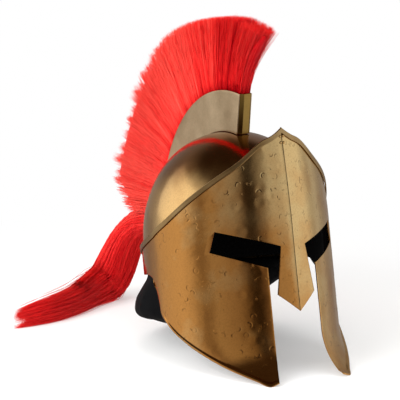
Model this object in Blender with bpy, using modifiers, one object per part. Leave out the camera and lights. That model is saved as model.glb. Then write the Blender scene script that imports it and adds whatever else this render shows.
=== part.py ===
"""A crested Greek helmet in sheet brass, standing on its cheek tips and its padded nape.

The helmet has a frame of its own: x to the wearer's left, f forward from the middle of its plan, h up from
the cheek tips. It leans back by LEAN on the table, where forward is -Y and the table top is z = 0.
"""

import math

import bmesh
import bpy
import numpy as np
from mathutils import Matrix, Vector

MM = 0.001

# Sheet metal and fits
SHEET = 1.2 * MM
FIT_GAP = 0.3 * MM
LEAN = math.radians(12.0)

# Plan of the face plate, an ellipse behind and a blunter pointed curve in front
HALF_WIDTH = 107.0 * MM
FRONT_REACH = 130.0 * MM
BACK_REACH = 129.4 * MM
FRONT_POWER = 1.7

# Heights of the face plate's edges above the cheek tips
PEAK_HEIGHT = 285.6 * MM
NAPE_HEIGHT = 134.0 * MM
COLLAR_HEIGHT = 19.4 * MM
NASAL_TIP_HEIGHT = 82.7 * MM
NASAL_CORNER_HEIGHT = 103.0 * MM
EYE_INNER_HEIGHT = 155.8 * MM
EYE_OPENING = 22.6 * MM
EYE_RISE = 22.1 * MM

# Half widths of the nasal, and turns round the plan from the ridge, in degrees
NASAL_HALF_TOP = 15.2 * MM
NASAL_HALF_BOTTOM = 23.4 * MM
CHEEK_EDGE_TURN = 20.0
EYE_END_TURN = 46.4
EYE_SLANT_TURNS = 3.7

# The cheeks flare outwards along an arc, and the sheet closes in towards the peak
FLARE_HEIGHT = 61.0 * MM
FLARE_RADIUS = 75.0 * MM
FLARE_LIMIT = 0.97
PEAK_CLOSING = 5.5 * MM
CLOSING_START = 0.63
CLOSING_POWER = 1.5

# Rolled hem of the cheeks, which fades out before the nape, and band along the plate's top edge
HEM_WIDTH = 5.0 * MM
HEM_RISE = 1.7 * MM
HEM_END_TURN = 88.0
HEM_FADE_TURNS = 10.0
BAND_WIDTH = 6.0 * MM
BAND_THICKNESS = 1.6 * MM

# Turns between which the plate's lower edge climbs to the nape, and shares of the collar's height that
# the slot's two lines reach at the nape
CLIMB_TURNS = (84.0, 106.0)
NAPE_LOW_SHARE = 0.35
NAPE_HIGH_SHARE = 0.60

# Skull bowl, whose lower edge rises from the temples to the brow
BOWL_BASE = 160.0 * MM
BOWL_RISE = 132.5 * MM
BOWL_POWER = 2.08
BOWL_SETBACK = 6.0 * MM
BOWL_FRONT_EDGE = 192.0 * MM
BOWL_OVER_NAPE = 3.0 * MM
BOWL_TEMPLE_TURN = 100.0
BOWL_TEMPLE_TURNS = 55.0

# The bowl lies inside the plate, with a wider gap than flat pieces have because both are faceted
SHELL_GAP = 0.8 * MM
INSET = SHEET + SHELL_GAP

# Lining: it hangs lower beside the ears, and ends over the top of the nape pad
LINER_THICKNESS = 5.0 * MM
LINER_INSET = INSET + SHEET + SHELL_GAP
LINER_EAR_EDGE = 124.0 * MM
EAR_FRONT_TURN = 66.0
EAR_FRONT_TURNS = 18.0
EAR_BACK_TURN = 88.0
EAR_BACK_TURNS = 10.0

# Crest box: its top is an arc about a point near the middle of the bowl
CREST_RADIUS = 175.0 * MM
CREST_CENTRE_FORWARD = -2.7 * MM
CREST_CENTRE_HEIGHT = 163.0 * MM
CREST_WIDTH = 17.0 * MM
CREST_START_ANGLE = 71.4
CREST_END_ANGLE = 178.0

# Upright hair, in locks of slightly uneven length
PLUME_LENGTH = 95.0 * MM
PLUME_SPREAD = 30.0 * MM
PLUME_END_ANGLE = 168.0
PLUME_LOCKS = 22
LOCK_COLUMNS = 3
LOCK_CROWN_POWER = 0.6
LOCK_NOTCH = 0.10
LOCK_UNEVEN = 0.025

# Tail of hair, rooted inside the end of the box, with its section in small locks
TAIL_ROOT_ANGLE = 173.6
TAIL_ROOT_SHARE = 0.80
TAIL_WIDTH = 44.0 * MM
TAIL_DEPTH = 38.0 * MM
TAIL_RUN = 205.0 * MM
TAIL_REACH = 90.0 * MM
TAIL_LOCKS = 5
TAIL_LOCK_SHARE = 0.09
TAIL_RINGS = 27
TAIL_SIDES = 20
TAIL_LEVEL_RINGS = (3, 9)

# Nape pad: its top is tucked up inside the plate, and its front ends are drawn in and sag
PAD_TUCK = 7.0 * MM
PAD_DROP = 54.0 * MM
PAD_BULGE = 18.6 * MM
PAD_ROOT_SHARE = 0.30
PAD_FRONT_INSET = 12.8 * MM
PAD_FRONT_SAG = 6.5 * MM
PAD_FRONT_TURN = 104.0
PAD_FRONT_TURNS = 15.0

# Rivets: turn from the ridge, and heights of the two pairs as shares of PEAK_HEIGHT
RIVET_RADIUS = 1.6 * MM
RIVET_FLATNESS = 0.6
RIVET_TURN = 2.2
RIVET_ROWS = (("upper", 0.965), ("lower", 0.940))

# How finely the sheets are divided: rows and columns of each stretch
SLOT_COLUMNS = 7
NASAL_COLUMNS = 4
NASAL_ROWS = 7
HEM_ROWS = 5
PLATE_ROWS = 8
BOWL_GRID = (19, 11)
LINER_GRID = (19, 9)
CREST_COLUMNS = 30
PAD_RINGS = 28

# Finishes: colour, roughness, metallic
PLATE_BRASS = ((0.47, 0.27, 0.10), 0.30, 1.0)
BOWL_BRASS = ((0.42, 0.25, 0.10), 0.25, 1.0)
BAND_BRASS = ((0.40, 0.26, 0.12), 0.35, 1.0)
CREST_BRASS = ((0.50, 0.40, 0.26), 0.35, 1.0)
STRIP_BRASS = ((0.35, 0.25, 0.09), 0.30, 1.0)
HAIR = ((0.75, 0.01, 0.02), 0.50, 0.0)
PADDING = ((0.006, 0.006, 0.008), 0.90, 0.0)
SHARP_ANGLE = math.radians(35.0)

# Top edge of the plate: turn from the ridge, share of the rise from the collar's top to the peak
RIM_LINE = np.array([
    (0.0, 1.000), (9.4, 0.937), (17.5, 0.892), (31.0, 0.745), (43.5, 0.633), (57.8, 0.495),
    (75.6, 0.320), (94.0, 0.201), (108.0, 0.134), (130.0, 0.065), (155.0, 0.017), (180.0, 0.000),
])

# Lower edge: turn at the top of a column, turn at the edge, height as a share of NAPE_HEIGHT
EDGE_LINE = np.array([
    (20.0, 20.0, 0.060), (24.0, 24.0, 0.040), (30.0, 30.0, 0.085), (50.1, 50.1, 0.243),
    (70.0, 70.0, 0.433), (83.5, 83.5, 0.597), (90.0, 89.4, 0.687), (93.0, 90.3, 0.757),
    (97.0, 92.0, 0.860), (101.0, 95.4, 0.965), (105.0, 100.5, 0.998), (112.0, 110.0, 1.000),
    (180.0, 180.0, 1.000),
])

# Band's section: height out of the plate as a share of its thickness, and drop as a share of its width
BAND_SECTION = ((0.75, 0.95), (1.00, 0.55), (1.00, 0.15))
BAND_TOP_SHARE = 0.80

# Hair of the crest: angle of its root on the arc, angle in which it stands, length as a share of
# PLUME_LENGTH, sweep to the wearer's right at its tips as a share of PLUME_SPREAD
PLUME_FAN = np.array([
    (71.4, 43.0, 0.98, 0.00), (76.0, 47.0, 1.00, 0.00), (82.0, 55.0, 1.00, 0.00),
    (88.0, 66.0, 0.97, 0.00), (95.0, 80.0, 0.95, 0.00), (105.0, 97.0, 1.00, 0.00),
    (115.0, 112.0, 1.09, 0.00), (125.0, 124.0, 1.16, 0.05), (135.0, 135.0, 1.21, 0.15),
    (145.0, 146.0, 1.22, 0.30), (155.0, 157.0, 1.23, 0.45), (161.0, 162.0, 1.20, 0.52),
    (165.0, 166.5, 0.90, 0.56), (168.0, 170.0, 0.68, 0.60),
])

# A lock's section: share of its length, half thickness as a share of the spread, groove beside it
PLUME_SECTION = (
    (0.00, 0.00, 0.00), (0.14, 0.50, 0.10), (0.40, 0.72, 0.22), (0.72, 0.95, 0.34), (0.93, 0.80, 0.42),
    (1.00, 0.30, 0.50),
)
PLUME_SWEEP_POWER = 1.5

# Tail of the crest on the table: how far back from its root, how far to the wearer's right and how high,
# as shares of TAIL_REACH, TAIL_RUN and the root's height, then its width and depth as shares
TAIL_ROUTE = np.array([
    (0.00, 0.000, 1.000, 0.27, 0.50), (0.33, 0.015, 1.000, 0.45, 0.58), (0.59, 0.040, 0.970, 0.61, 0.74),
    (0.78, 0.060, 0.850, 0.73, 0.92), (0.89, 0.080, 0.670, 0.80, 1.05), (0.97, 0.100, 0.450, 0.91, 1.08),
    (1.01, 0.145, 0.270, 1.00, 0.98), (0.99, 0.220, 0.165, 1.05, 0.86), (0.87, 0.330, 0.120, 1.02, 0.71),
    (0.59, 0.510, 0.097, 0.86, 0.58), (0.37, 0.700, 0.082, 0.73, 0.47), (0.28, 0.840, 0.063, 0.62, 0.37),
    (0.23, 0.990, 0.037, 0.38, 0.22),
])

# Nape pad's section: shares of the tuck and of the drop, offset of its outer and inner face as shares
# of PAD_BULGE
PAD_SECTION = np.array([
    (1.0, 0.00, -0.27, -0.50), (0.0, 0.03, -0.27, -0.62), (0.0, 0.23, 0.22, -0.74), (0.0, 0.45, 0.79, -0.80),
    (0.0, 0.64, 1.00, -0.84), (0.0, 0.77, 1.00, -0.86), (0.0, 0.89, 0.67, -0.84), (0.0, 0.97, 0.11, -0.72),
    (0.0, 1.00, -0.38, -0.50),
])

# Nape pad round the neck: turn from the wearer's right front, shares of the drop and of the fullness
PAD_ROUND = np.array([
    (84.0, 0.45, 0.25), (91.0, 0.80, 0.55), (100.0, 0.98, 0.74), (117.0, 1.02, 0.80), (140.0, 1.12, 0.92),
    (180.0, 1.42, 1.00), (212.0, 1.10, 0.95), (232.0, 0.62, 0.75), (246.0, 0.34, 0.50), (258.0, 0.14, 0.22),
])


def smooth(table, station, column):
    """One column of a table at a station: cubic pieces, each row's slope the mean of those beside it."""
    x, y = table[:, 0], table[:, column]
    step = np.diff(y) / np.diff(x)
    slope = np.concatenate([step[:1], (step[1:] + step[:-1]) / 2, step[-1:]])
    slope[1:-1][step[1:] * step[:-1] <= 0] = 0
    s = np.clip(np.asarray(station, float), x[0], x[-1])
    i = np.clip(np.searchsorted(x, s, side="right") - 1, 0, len(x) - 2)
    width = x[i + 1] - x[i]
    t = (s - x[i]) / width
    return ((2 * t**3 - 3 * t**2 + 1) * y[i] + (t**3 - 2 * t**2 + t) * width * slope[i]
            + (3 * t**2 - 2 * t**3) * y[i + 1] + (t**3 - t**2) * width * slope[i + 1])


def ease(value):
    """A smooth step: 0 below 0, 1 above 1, level at both ends."""
    t = np.clip(value, 0, 1)
    return t * t * (3 - 2 * t)


def plan(turn, inset=0.0, power=FRONT_POWER):
    """Point (x, f) of the plan at a turn in radians from the ridge, and its unit outward normal."""
    c, s = np.cos(turn), np.abs(np.sin(turn))
    reach = np.where(c > 0, FRONT_REACH, BACK_REACH) - inset
    e = np.where(c > 0, power, 2.0)
    half = HALF_WIDTH - inset
    x = half * s ** (2 / e)
    f = reach * np.sign(c) * np.abs(c) ** (2 / e)
    nx = s ** (2 - 2 / e) / half
    nf = np.sign(c) * np.abs(c) ** (2 - 2 / e) / reach
    n = np.hypot(nx, nf)
    return x, f, nx / n, nf / n


def turn_of(x):
    """Turn in degrees at which the front of the plan reaches half width x."""
    return np.degrees(np.arcsin((x / HALF_WIDTH) ** (FRONT_POWER / 2)))


def rim_height(turn):
    """Height of the plate's top edge at a turn in degrees."""
    collar = NAPE_HEIGHT + COLLAR_HEIGHT
    return collar + (PEAK_HEIGHT - collar) * smooth(RIM_LINE, turn, 1)


def plate_point(turn, height, offset=0.0):
    """Point of the plate's outer face: the plan, pushed out by the flare and in by the peak's closing."""
    turn, height = np.broadcast_arrays(np.radians(turn), height)
    x, f, nx, nf = plan(turn)
    below = np.clip(FLARE_HEIGHT - height, 0, FLARE_LIMIT * FLARE_RADIUS)
    flare = FLARE_RADIUS - np.sqrt(FLARE_RADIUS**2 - below**2)
    start = CLOSING_START * PEAK_HEIGHT
    closing = PEAK_CLOSING * (np.clip(height - start, 0, None) / (PEAK_HEIGHT - start)) ** CLOSING_POWER
    out = flare - closing + offset
    return np.stack([x + nx * out, -(f + nf * out), height], -1)


def bowl_edge(turn):
    """Height of the bowl's lower edge at a turn in degrees, level behind and rising to the brow."""
    behind = NAPE_HEIGHT + BOWL_OVER_NAPE
    return behind + (BOWL_FRONT_EDGE - behind) * ease((BOWL_TEMPLE_TURN - turn) / BOWL_TEMPLE_TURNS)


def liner_edge(turn):
    """Height of the lining's lower edge: over the pad behind, lower beside the ears, up to the brow."""
    over_pad = NAPE_HEIGHT + PAD_TUCK + FIT_GAP
    behind = (over_pad - LINER_EAR_EDGE) * ease((turn - EAR_BACK_TURN) / EAR_BACK_TURNS)
    ahead = (BOWL_FRONT_EDGE - LINER_EAR_EDGE) * ease((EAR_FRONT_TURN - turn) / EAR_FRONT_TURNS)
    return LINER_EAR_EDGE + behind + ahead


def bowl_point(turn, share, inset, edge_line):
    """Point of a bowl shell: share 0 is its lower edge and 1 its crown, an ellipse-like dome on the plan."""
    turn, share = np.broadcast_arrays(turn, share)
    edge = edge_line(turn)
    rise = BOWL_RISE - inset
    over = np.clip((edge - BOWL_BASE) / rise, 0, 1)
    low = np.where(edge > BOWL_BASE, np.arcsin(over ** (BOWL_POWER / 2)), (edge - BOWL_BASE) / rise)
    lift = low + (math.pi / 2 - low) * share
    up = np.clip(lift, 0, math.pi / 2)
    ring = np.where(share < 1, np.abs(np.cos(up)) ** (2 / BOWL_POWER), 0.0)
    height = np.where(lift > 0, rise * np.sin(up) ** (2 / BOWL_POWER), lift * rise)
    power = FRONT_POWER + (2 - FRONT_POWER) * np.sin(up) ** 2
    x, f, _, _ = plan(np.radians(turn), inset, power)
    setback = BOWL_SETBACK * np.sin(up) ** 2
    return np.stack([x * ring, -(f * ring - setback), BOWL_BASE + height], -1)


def crest_point(angle, radius, x):
    """Point in the crest box's plane at an angle from straight forward and a distance from its centre."""
    angle, radius, x = np.broadcast_arrays(np.radians(angle), radius, x)
    f = CREST_CENTRE_FORWARD + radius * np.cos(angle)
    return np.stack([x, -f, CREST_CENTRE_HEIGHT + radius * np.sin(angle)], -1)


def bowl_outline(angle):
    """Distance from the crest's centre to the bowl's outer face in its middle plane, at given angles."""
    shares = np.linspace(1, 0, 60)[1:]
    front = bowl_point(0.0, shares[::-1], INSET, bowl_edge)
    back = bowl_point(180.0, shares, INSET, bowl_edge)
    line = np.concatenate([front, bowl_point(0.0, np.ones(1), INSET, bowl_edge), back])
    f, h = -line[:, 1] - CREST_CENTRE_FORWARD, line[:, 2] - CREST_CENTRE_HEIGHT
    found = np.degrees(np.arctan2(h, f))
    order = np.argsort(found)
    return np.interp(angle, found[order], np.hypot(f, h)[order])


def fill(name, collection, points, faces, colour, roughness, metallic, closed=False):
    """Make one object with its own material from points and faces, with coincident points joined."""
    mesh = bpy.data.meshes.new(name)
    mesh.from_pydata([tuple(p) for p in points], [], faces)
    work = bmesh.new()
    work.from_mesh(mesh)
    bmesh.ops.remove_doubles(work, verts=work.verts, dist=1e-6)
    if closed:
        bmesh.ops.recalc_face_normals(work, faces=work.faces)
    work.to_mesh(mesh)
    work.free()
    mesh.validate()
    obj = bpy.data.objects.new(name, mesh)
    material = bpy.data.materials.new(name)
    material.use_nodes = True
    shader = material.node_tree.nodes["Principled BSDF"]
    shader.inputs["Base Color"].default_value = (*colour, 1.0)
    shader.inputs["Roughness"].default_value = roughness
    shader.inputs["Metallic"].default_value = metallic
    mesh.materials.append(material)
    mesh.shade_smooth()
    mesh.set_sharp_from_angle(angle=SHARP_ANGLE)
    collection.objects.link(obj)
    return obj


def sheet(name, collection, patches, thickness, mirrored, finish):
    """Make a sheet from grids of points that share their borders, thickened inwards from its outer face."""
    points, faces = [], []
    for grid in patches:
        rows, columns = grid.shape[:2]
        start = len(points)
        points += list(grid.reshape(-1, 3))
        faces += [
            (start + r * columns + c, start + r * columns + c + 1,
             start + (r + 1) * columns + c + 1, start + (r + 1) * columns + c)
            for r in range(rows - 1) for c in range(columns - 1)
        ]
    obj = fill(name, collection, points, faces, *finish)
    if mirrored:
        mirror = obj.modifiers.new("other half", "MIRROR")
        mirror.merge_threshold = 1e-5
    solid = obj.modifiers.new("thickness", "SOLIDIFY")
    solid.thickness = thickness
    solid.offset = -1.0
    return obj


def loft(name, collection, rings, finish, pairing=0):
    """Make a closed solid through rings of points. Each end is closed by a ladder of faces between the
    points that face each other across it: point i and point -i, or -i - 1 where pairing is 1."""
    count, size = rings.shape[:2]
    faces = [
        (r * size + c, r * size + (c + 1) % size, (r + 1) * size + (c + 1) % size, (r + 1) * size + c)
        for r in range(count - 1) for c in range(size)
    ]
    for start in (0, (count - 1) * size):
        for i in range(size // 2):
            rung = [i, i + 1, (-i - 1 - pairing) % size, (-i - pairing) % size]
            face = [start + c for c in dict.fromkeys(rung)]
            if len(face) > 2:
                faces.append(tuple(face))
    return fill(name, collection, rings.reshape(-1, 3), faces, *finish, closed=True)


def straight(first, last, count):
    """Evenly spaced rows of points from one line of points to another."""
    share = np.linspace(0, 1, count)
    return first[None] + share[:, None, None] * (last - first)[None]


def eye_top(turn):
    """Height of the eye slot's upper edge."""
    inner = turn_of(NASAL_HALF_TOP)
    return EYE_INNER_HEIGHT + EYE_RISE * np.clip((turn - inner) / (EYE_END_TURN - inner), 0, 1)


def eye_bottom(turn):
    """Height of the eye slot's lower edge."""
    length = EYE_END_TURN + EYE_SLANT_TURNS - CHEEK_EDGE_TURN
    return EYE_INNER_HEIGHT - EYE_OPENING + EYE_RISE * np.clip((turn - CHEEK_EDGE_TURN) / length, 0, 1)


def face_plate(collection):
    """The plate with ridge, nasal, eye slots and flared cheeks, cut as a flat pattern of turns and heights."""
    slot_end = EYE_END_TURN + EYE_SLANT_TURNS
    slot_turn = np.linspace(CHEEK_EDGE_TURN, slot_end, SLOT_COLUMNS)
    side = np.concatenate([
        np.linspace(slot_end, CLIMB_TURNS[0], 6), np.linspace(*CLIMB_TURNS, 10)[1:],
        np.linspace(CLIMB_TURNS[1], 180.0, 9)[1:],
    ])

    # Behind the slot its two lines run on to the nape, between the lower edge and the rim
    past = (side - slot_end) / (180.0 - slot_end)
    ease_out = np.sqrt(past)
    low_end = NAPE_HEIGHT + NAPE_LOW_SHARE * COLLAR_HEIGHT
    high_end = NAPE_HEIGHT + NAPE_HIGH_SHARE * COLLAR_HEIGHT
    low_start, high_start = eye_bottom(slot_end), eye_top(EYE_END_TURN)
    side_low = np.stack([side, low_start + (low_end - low_start) * ease_out], -1)
    top_turn = EYE_END_TURN + (180.0 - EYE_END_TURN) * past
    side_high = np.stack([top_turn, high_start + (high_end - high_start) * ease_out], -1)

    slot_low = np.stack([slot_turn, eye_bottom(slot_turn)], -1)
    nasal_turn = turn_of(NASAL_HALF_TOP)
    over_turn = np.concatenate([
        np.linspace(0, nasal_turn, NASAL_COLUMNS), np.linspace(nasal_turn, CHEEK_EDGE_TURN, 3)[1:],
        np.linspace(CHEEK_EDGE_TURN, EYE_END_TURN, SLOT_COLUMNS)[1:],
    ])
    over = np.stack([over_turn, eye_top(over_turn)], -1)

    # Upper band, from the slot's upper line to the rim
    high = np.concatenate([over, side_high[1:]])
    top = np.stack([high[:, 0], rim_height(high[:, 0])], -1)
    upper = straight(high, top, PLATE_ROWS)

    # Cheeks and sides, from the lower edge with its rolled hem to the slot's lower line
    low = np.concatenate([slot_low, side_low[1:]])
    edge = np.stack([smooth(EDGE_LINE, low[:, 0], 1), NAPE_HEIGHT * smooth(EDGE_LINE, low[:, 0], 2)], -1)
    length = np.hypot(np.radians(low[:, 0] - edge[:, 0]) * HALF_WIDTH, low[:, 1] - edge[:, 1])
    hem_top = edge + (HEM_WIDTH / length)[:, None] * (low - edge)
    hem = straight(edge, hem_top, HEM_ROWS)
    lower = straight(hem_top, low, PLATE_ROWS)
    full = np.clip((HEM_END_TURN - edge[:, 0]) / HEM_FADE_TURNS, 0, 1)
    bead = HEM_RISE * np.sin(np.linspace(0, math.pi, HEM_ROWS))[:, None] * full[None]

    # Nasal, from its arrow-shaped lower edge to the eye line
    across = np.linspace(0, 1, NASAL_COLUMNS)
    tip_height = NASAL_TIP_HEIGHT + (NASAL_CORNER_HEIGHT - NASAL_TIP_HEIGHT) * across
    tip = np.stack([turn_of(NASAL_HALF_BOTTOM * across), tip_height], -1)
    nasal = straight(tip, over[:NASAL_COLUMNS], NASAL_ROWS)

    middle = straight(side_low, side_high, 3)
    patches = [plate_point(grid[..., 0], grid[..., 1]) for grid in (upper, lower, nasal, middle)]
    patches.append(plate_point(hem[..., 0], hem[..., 1], bead))
    return sheet("face_plate", collection, patches, SHEET, True, PLATE_BRASS)


def brow_band(collection):
    """The raised band round the plate's top edge: a flat-backed moulding carried along the rim."""
    turn = np.concatenate([np.linspace(0, 60, 13), np.linspace(60, 180, 17)[1:]])
    rim = rim_height(turn)
    proud = FIT_GAP + BAND_THICKNESS
    profile = [(FIT_GAP, -BAND_WIDTH)]
    profile += [(out * proud, -drop * BAND_WIDTH) for out, drop in BAND_SECTION]
    profile += [(BAND_TOP_SHARE * proud, FIT_GAP), (FIT_GAP, FIT_GAP)]
    rings = np.stack([plate_point(turn, rim + drop, out) for out, drop in profile], 1)
    rings[0, :, 0] = 0.0
    rings[-1, :, 0] = 0.0
    size = len(profile)
    count = len(turn)
    points = list(rings.reshape(-1, 3))
    faces = [
        (r * size + c, (r + 1) * size + c, (r + 1) * size + (c + 1) % size, r * size + (c + 1) % size)
        for r in range(count - 1) for c in range(size)
    ]
    obj = fill("brow_band", collection, points, faces, *BAND_BRASS)
    mirror = obj.modifiers.new("other half", "MIRROR")
    mirror.merge_threshold = 1e-5
    return obj


def bowl_shell(name, collection, inset, thickness, edge_line, divisions, finish):
    """A dome of sheet or padding under the plate, open below."""
    columns, rows = divisions
    turn = np.linspace(0, 180, columns)
    share = np.linspace(0, 1, rows)
    grid = bowl_point(turn[None, :], share[:, None], inset, edge_line)
    return sheet(name, collection, [grid], thickness, True, finish)


def crest_box(collection):
    """Two crescent side plates over the bowl, and the strip that closes them in front."""
    stations = np.linspace(CREST_START_ANGLE, CREST_END_ANGLE, CREST_COLUMNS)
    foot = bowl_outline(stations) + FIT_GAP
    made = []
    for side, label in ((-1, "right"), (1, "left")):
        x = side * CREST_WIDTH / 2
        inner = crest_point(stations, foot, x)
        outer = crest_point(stations, CREST_RADIUS, x)
        grid = straight(inner, outer, 2)
        grid = grid[:, ::-1] if side < 0 else grid
        made.append(sheet("crest_side_" + label, collection, [grid], SHEET, False, CREST_BRASS))
    half = CREST_WIDTH / 2 - SHEET - FIT_GAP
    across = np.array([-half, half])
    radii = np.array([foot[0] + FIT_GAP, CREST_RADIUS])
    front = crest_point(CREST_START_ANGLE, radii[:, None], across[None, :])
    made.append(sheet("crest_front", collection, [front], SHEET, False, STRIP_BRASS))
    return made


def crest_plume(collection):
    """The upright hair: locks side by side along the arc, fused to the block that fills the crest box."""
    shortest = bowl_outline(np.linspace(CREST_START_ANGLE, CREST_END_ANGLE, CREST_COLUMNS)).min()
    clear = math.degrees((SHEET + 2 * FIT_GAP) / shortest)
    columns = LOCK_COLUMNS * PLUME_LOCKS + 1
    root = np.linspace(CREST_START_ANGLE + clear, PLUME_END_ANGLE, columns)
    along_arc = np.linspace(0, 1, columns) * PLUME_LOCKS
    crown = np.sin(math.pi * (along_arc % 1)) ** LOCK_CROWN_POWER
    lock = along_arc.astype(int)
    uneven = 1.0 + LOCK_UNEVEN * (np.sin(2.4 * lock) + np.sin(5.1 * lock))
    length = PLUME_LENGTH * smooth(PLUME_FAN, root, 2) * uneven * (1 - LOCK_NOTCH * (1 - crown))
    stand = np.radians(smooth(PLUME_FAN, root, 1))
    sweep = -PLUME_SPREAD * smooth(PLUME_FAN, root, 3)
    half_root = CREST_WIDTH / 2 - SHEET - FIT_GAP
    base = crest_point(root, CREST_RADIUS, 0.0)
    inner = crest_point(root, bowl_outline(root) + 2 * FIT_GAP, 0.0)
    way = np.stack([np.zeros(columns), -np.cos(stand), np.sin(stand)], -1)
    rings = [(inner, np.full(columns, half_root))]
    for along, wide, groove in PLUME_SECTION:
        half = half_root + (PLUME_SPREAD / 2 - half_root) * wide
        half = half * (1 - groove * (1 - crown))
        centre = base + way * (length * along)[:, None]
        centre[:, 0] += sweep * along**PLUME_SWEEP_POWER
        rings.append((centre, half))
    sides = []
    for sign in (-1, 1):
        across = np.array([sign, 0.0, 0.0])
        sides.append([centre + half[:, None] * across for centre, half in rings])
    ring = np.stack(sides[0] + sides[1][::-1], 1)
    return loft("crest_plume", collection, ring, HAIR, pairing=1)


def crest_tail(collection, to_table):
    """The long hair at the crest's end: it leaves the box, falls to the table and lies across it in locks."""
    root = np.array(to_table @ Vector(crest_point(TAIL_ROOT_ANGLE, CREST_RADIUS, 0.0)))
    inside = np.array(to_table @ Vector(crest_point(TAIL_ROOT_ANGLE, TAIL_ROOT_SHARE * CREST_RADIUS, 0.0)))
    table = np.concatenate([np.linspace(0, 1, len(TAIL_ROUTE))[:, None], TAIL_ROUTE], 1)
    fine = np.linspace(0, 1, TAIL_RINGS)
    back, right, high, wide, deep = (smooth(table, fine, c) for c in range(1, 6))
    path = np.stack([-TAIL_RUN * right, root[1] + TAIL_REACH * back, root[2] * high], -1)
    path = np.concatenate([inside[None], path])
    wide = np.concatenate([wide[:1], wide]) * TAIL_WIDTH / 2
    deep = np.concatenate([deep[:1], deep]) * TAIL_DEPTH / 2
    way = np.gradient(path, axis=0)
    way /= np.linalg.norm(way, axis=1)[:, None]

    # Each section stands across the path, its width level with the table
    first, last = TAIL_LEVEL_RINGS
    turned = ease((np.arange(len(path)) - first) / (last - first))[:, None]
    level = np.cross(way, (0, 0, 1.0))
    level /= np.linalg.norm(level, axis=1)[:, None]
    level = (1 - turned) * np.array([1.0, 0, 0]) + turned * level
    level /= np.linalg.norm(level, axis=1)[:, None]
    above = np.cross(level, way)
    around = np.linspace(0, 2 * math.pi, TAIL_SIDES, endpoint=False)
    locks = 1 + TAIL_LOCK_SHARE * np.cos(TAIL_LOCKS * around)
    rings = (path[:, None] + level[:, None] * (wide[:, None] * (np.cos(around) * locks)[None])[..., None]
             + above[:, None] * (deep[:, None] * (np.sin(around) * locks)[None])[..., None])
    rings[..., 2] = np.maximum(rings[..., 2], 0.0)
    return loft("crest_tail", collection, rings, HAIR)


def neck_pad(collection, to_table):
    """The padded roll under the nape, tucked up inside the plate and pressed flat on the table."""
    turns = np.linspace(PAD_ROUND[0, 0], PAD_ROUND[-1, 0], PAD_RINGS)
    drop = PAD_DROP * smooth(PAD_ROUND, turns, 1)
    full = smooth(PAD_ROUND, turns, 2)
    root = -SHEET - 2 * FIT_GAP - PAD_ROOT_SHARE * PAD_BULGE
    top = NAPE_HEIGHT - FIT_GAP
    rings = []
    for turn, depth, fullness in zip(turns, drop, full):
        front = np.clip((PAD_FRONT_TURN - turn) / PAD_FRONT_TURNS, 0, 1)
        height = top + PAD_TUCK * PAD_SECTION[:, 0] - depth * PAD_SECTION[:, 1] - front * PAD_FRONT_SAG
        folded = 360.0 - turn if turn > 180.0 else turn
        ring = []
        for column in (2, 3):
            offset = root + (PAD_BULGE * PAD_SECTION[:, column] - root) * fullness - front * PAD_FRONT_INSET
            points = plate_point(folded, np.full(len(offset), FLARE_HEIGHT), offset)
            points[:, 2] = height
            points[:, 0] *= -1.0 if turn <= 180.0 else 1.0
            ring.append(points if column == 2 else points[::-1][1:-1])
        rings.append(np.concatenate(ring))
    rings = np.array(rings)
    matrix = np.array(to_table)
    rings = rings @ matrix[:3, :3].T + matrix[:3, 3]
    rings[..., 2] = np.maximum(rings[..., 2], 0.0)
    return loft("neck_pad", collection, rings, PADDING)


def rivet(name, collection, place, normal, finish):
    """A low domed rivet head, seated on a surface with its dome along the surface's normal."""
    work = bmesh.new()
    bmesh.ops.create_uvsphere(work, u_segments=8, v_segments=4, radius=RIVET_RADIUS)
    bmesh.ops.bisect_plane(work, geom=work.verts[:] + work.edges[:] + work.faces[:], dist=1e-7,
                           plane_co=(0, 0, 0), plane_no=(0, 0, -1), clear_outer=True)
    bmesh.ops.holes_fill(work, edges=[edge for edge in work.edges if edge.is_boundary])
    bmesh.ops.scale(work, vec=(1, 1, RIVET_FLATNESS), verts=work.verts)
    bmesh.ops.recalc_face_normals(work, faces=work.faces)
    points = [tuple(vert.co) for vert in work.verts]
    work.verts.index_update()
    faces = [tuple(vert.index for vert in face.verts) for face in work.faces]
    work.free()
    obj = fill(name, collection, points, faces, *finish)
    normal = Vector(normal).normalized()
    obj.location = Vector(place) + normal * FIT_GAP
    obj.rotation_mode = "QUATERNION"
    obj.rotation_quaternion = normal.to_track_quat("Z", "Y")
    return obj


def rivets(collection):
    """Two small rivets on the ridge under the peak, and one at the head of the crest's front strip."""
    made = []
    for label, share in RIVET_ROWS:
        height = share * PEAK_HEIGHT
        place = plate_point(RIVET_TURN, height)
        beside = plate_point(RIVET_TURN + 1, height) - place
        above = plate_point(RIVET_TURN, height + MM) - place
        for side, hand in ((-1, "right"), (1, "left")):
            mirrored = np.array((side, 1, 1))
            normal = np.cross(beside, above) * mirrored
            name = f"peak_rivet_{label}_{hand}"
            made.append(rivet(name, collection, place * mirrored, normal, BAND_BRASS))
    place = crest_point(CREST_START_ANGLE, CREST_RADIUS - 4 * RIVET_RADIUS, 0.0)
    ahead = math.radians(CREST_START_ANGLE - 90)
    made.append(rivet("crest_rivet", collection, place, (0, -math.cos(ahead), math.sin(ahead)), BAND_BRASS))
    return made


def world_points(obj):
    """Every point of an object's finished mesh, in world space."""
    graph = bpy.context.evaluated_depsgraph_get()
    evaluated = obj.evaluated_get(graph)
    mesh = evaluated.to_mesh()
    points = np.empty(len(mesh.vertices) * 3)
    mesh.vertices.foreach_get("co", points)
    evaluated.to_mesh_clear()
    matrix = np.array(evaluated.matrix_world)
    return points.reshape(-1, 3) @ matrix[:3, :3].T + matrix[:3, 3]


def clear_scene():
    for obj in list(bpy.data.objects):
        bpy.data.objects.remove(obj, do_unlink=True)


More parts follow.
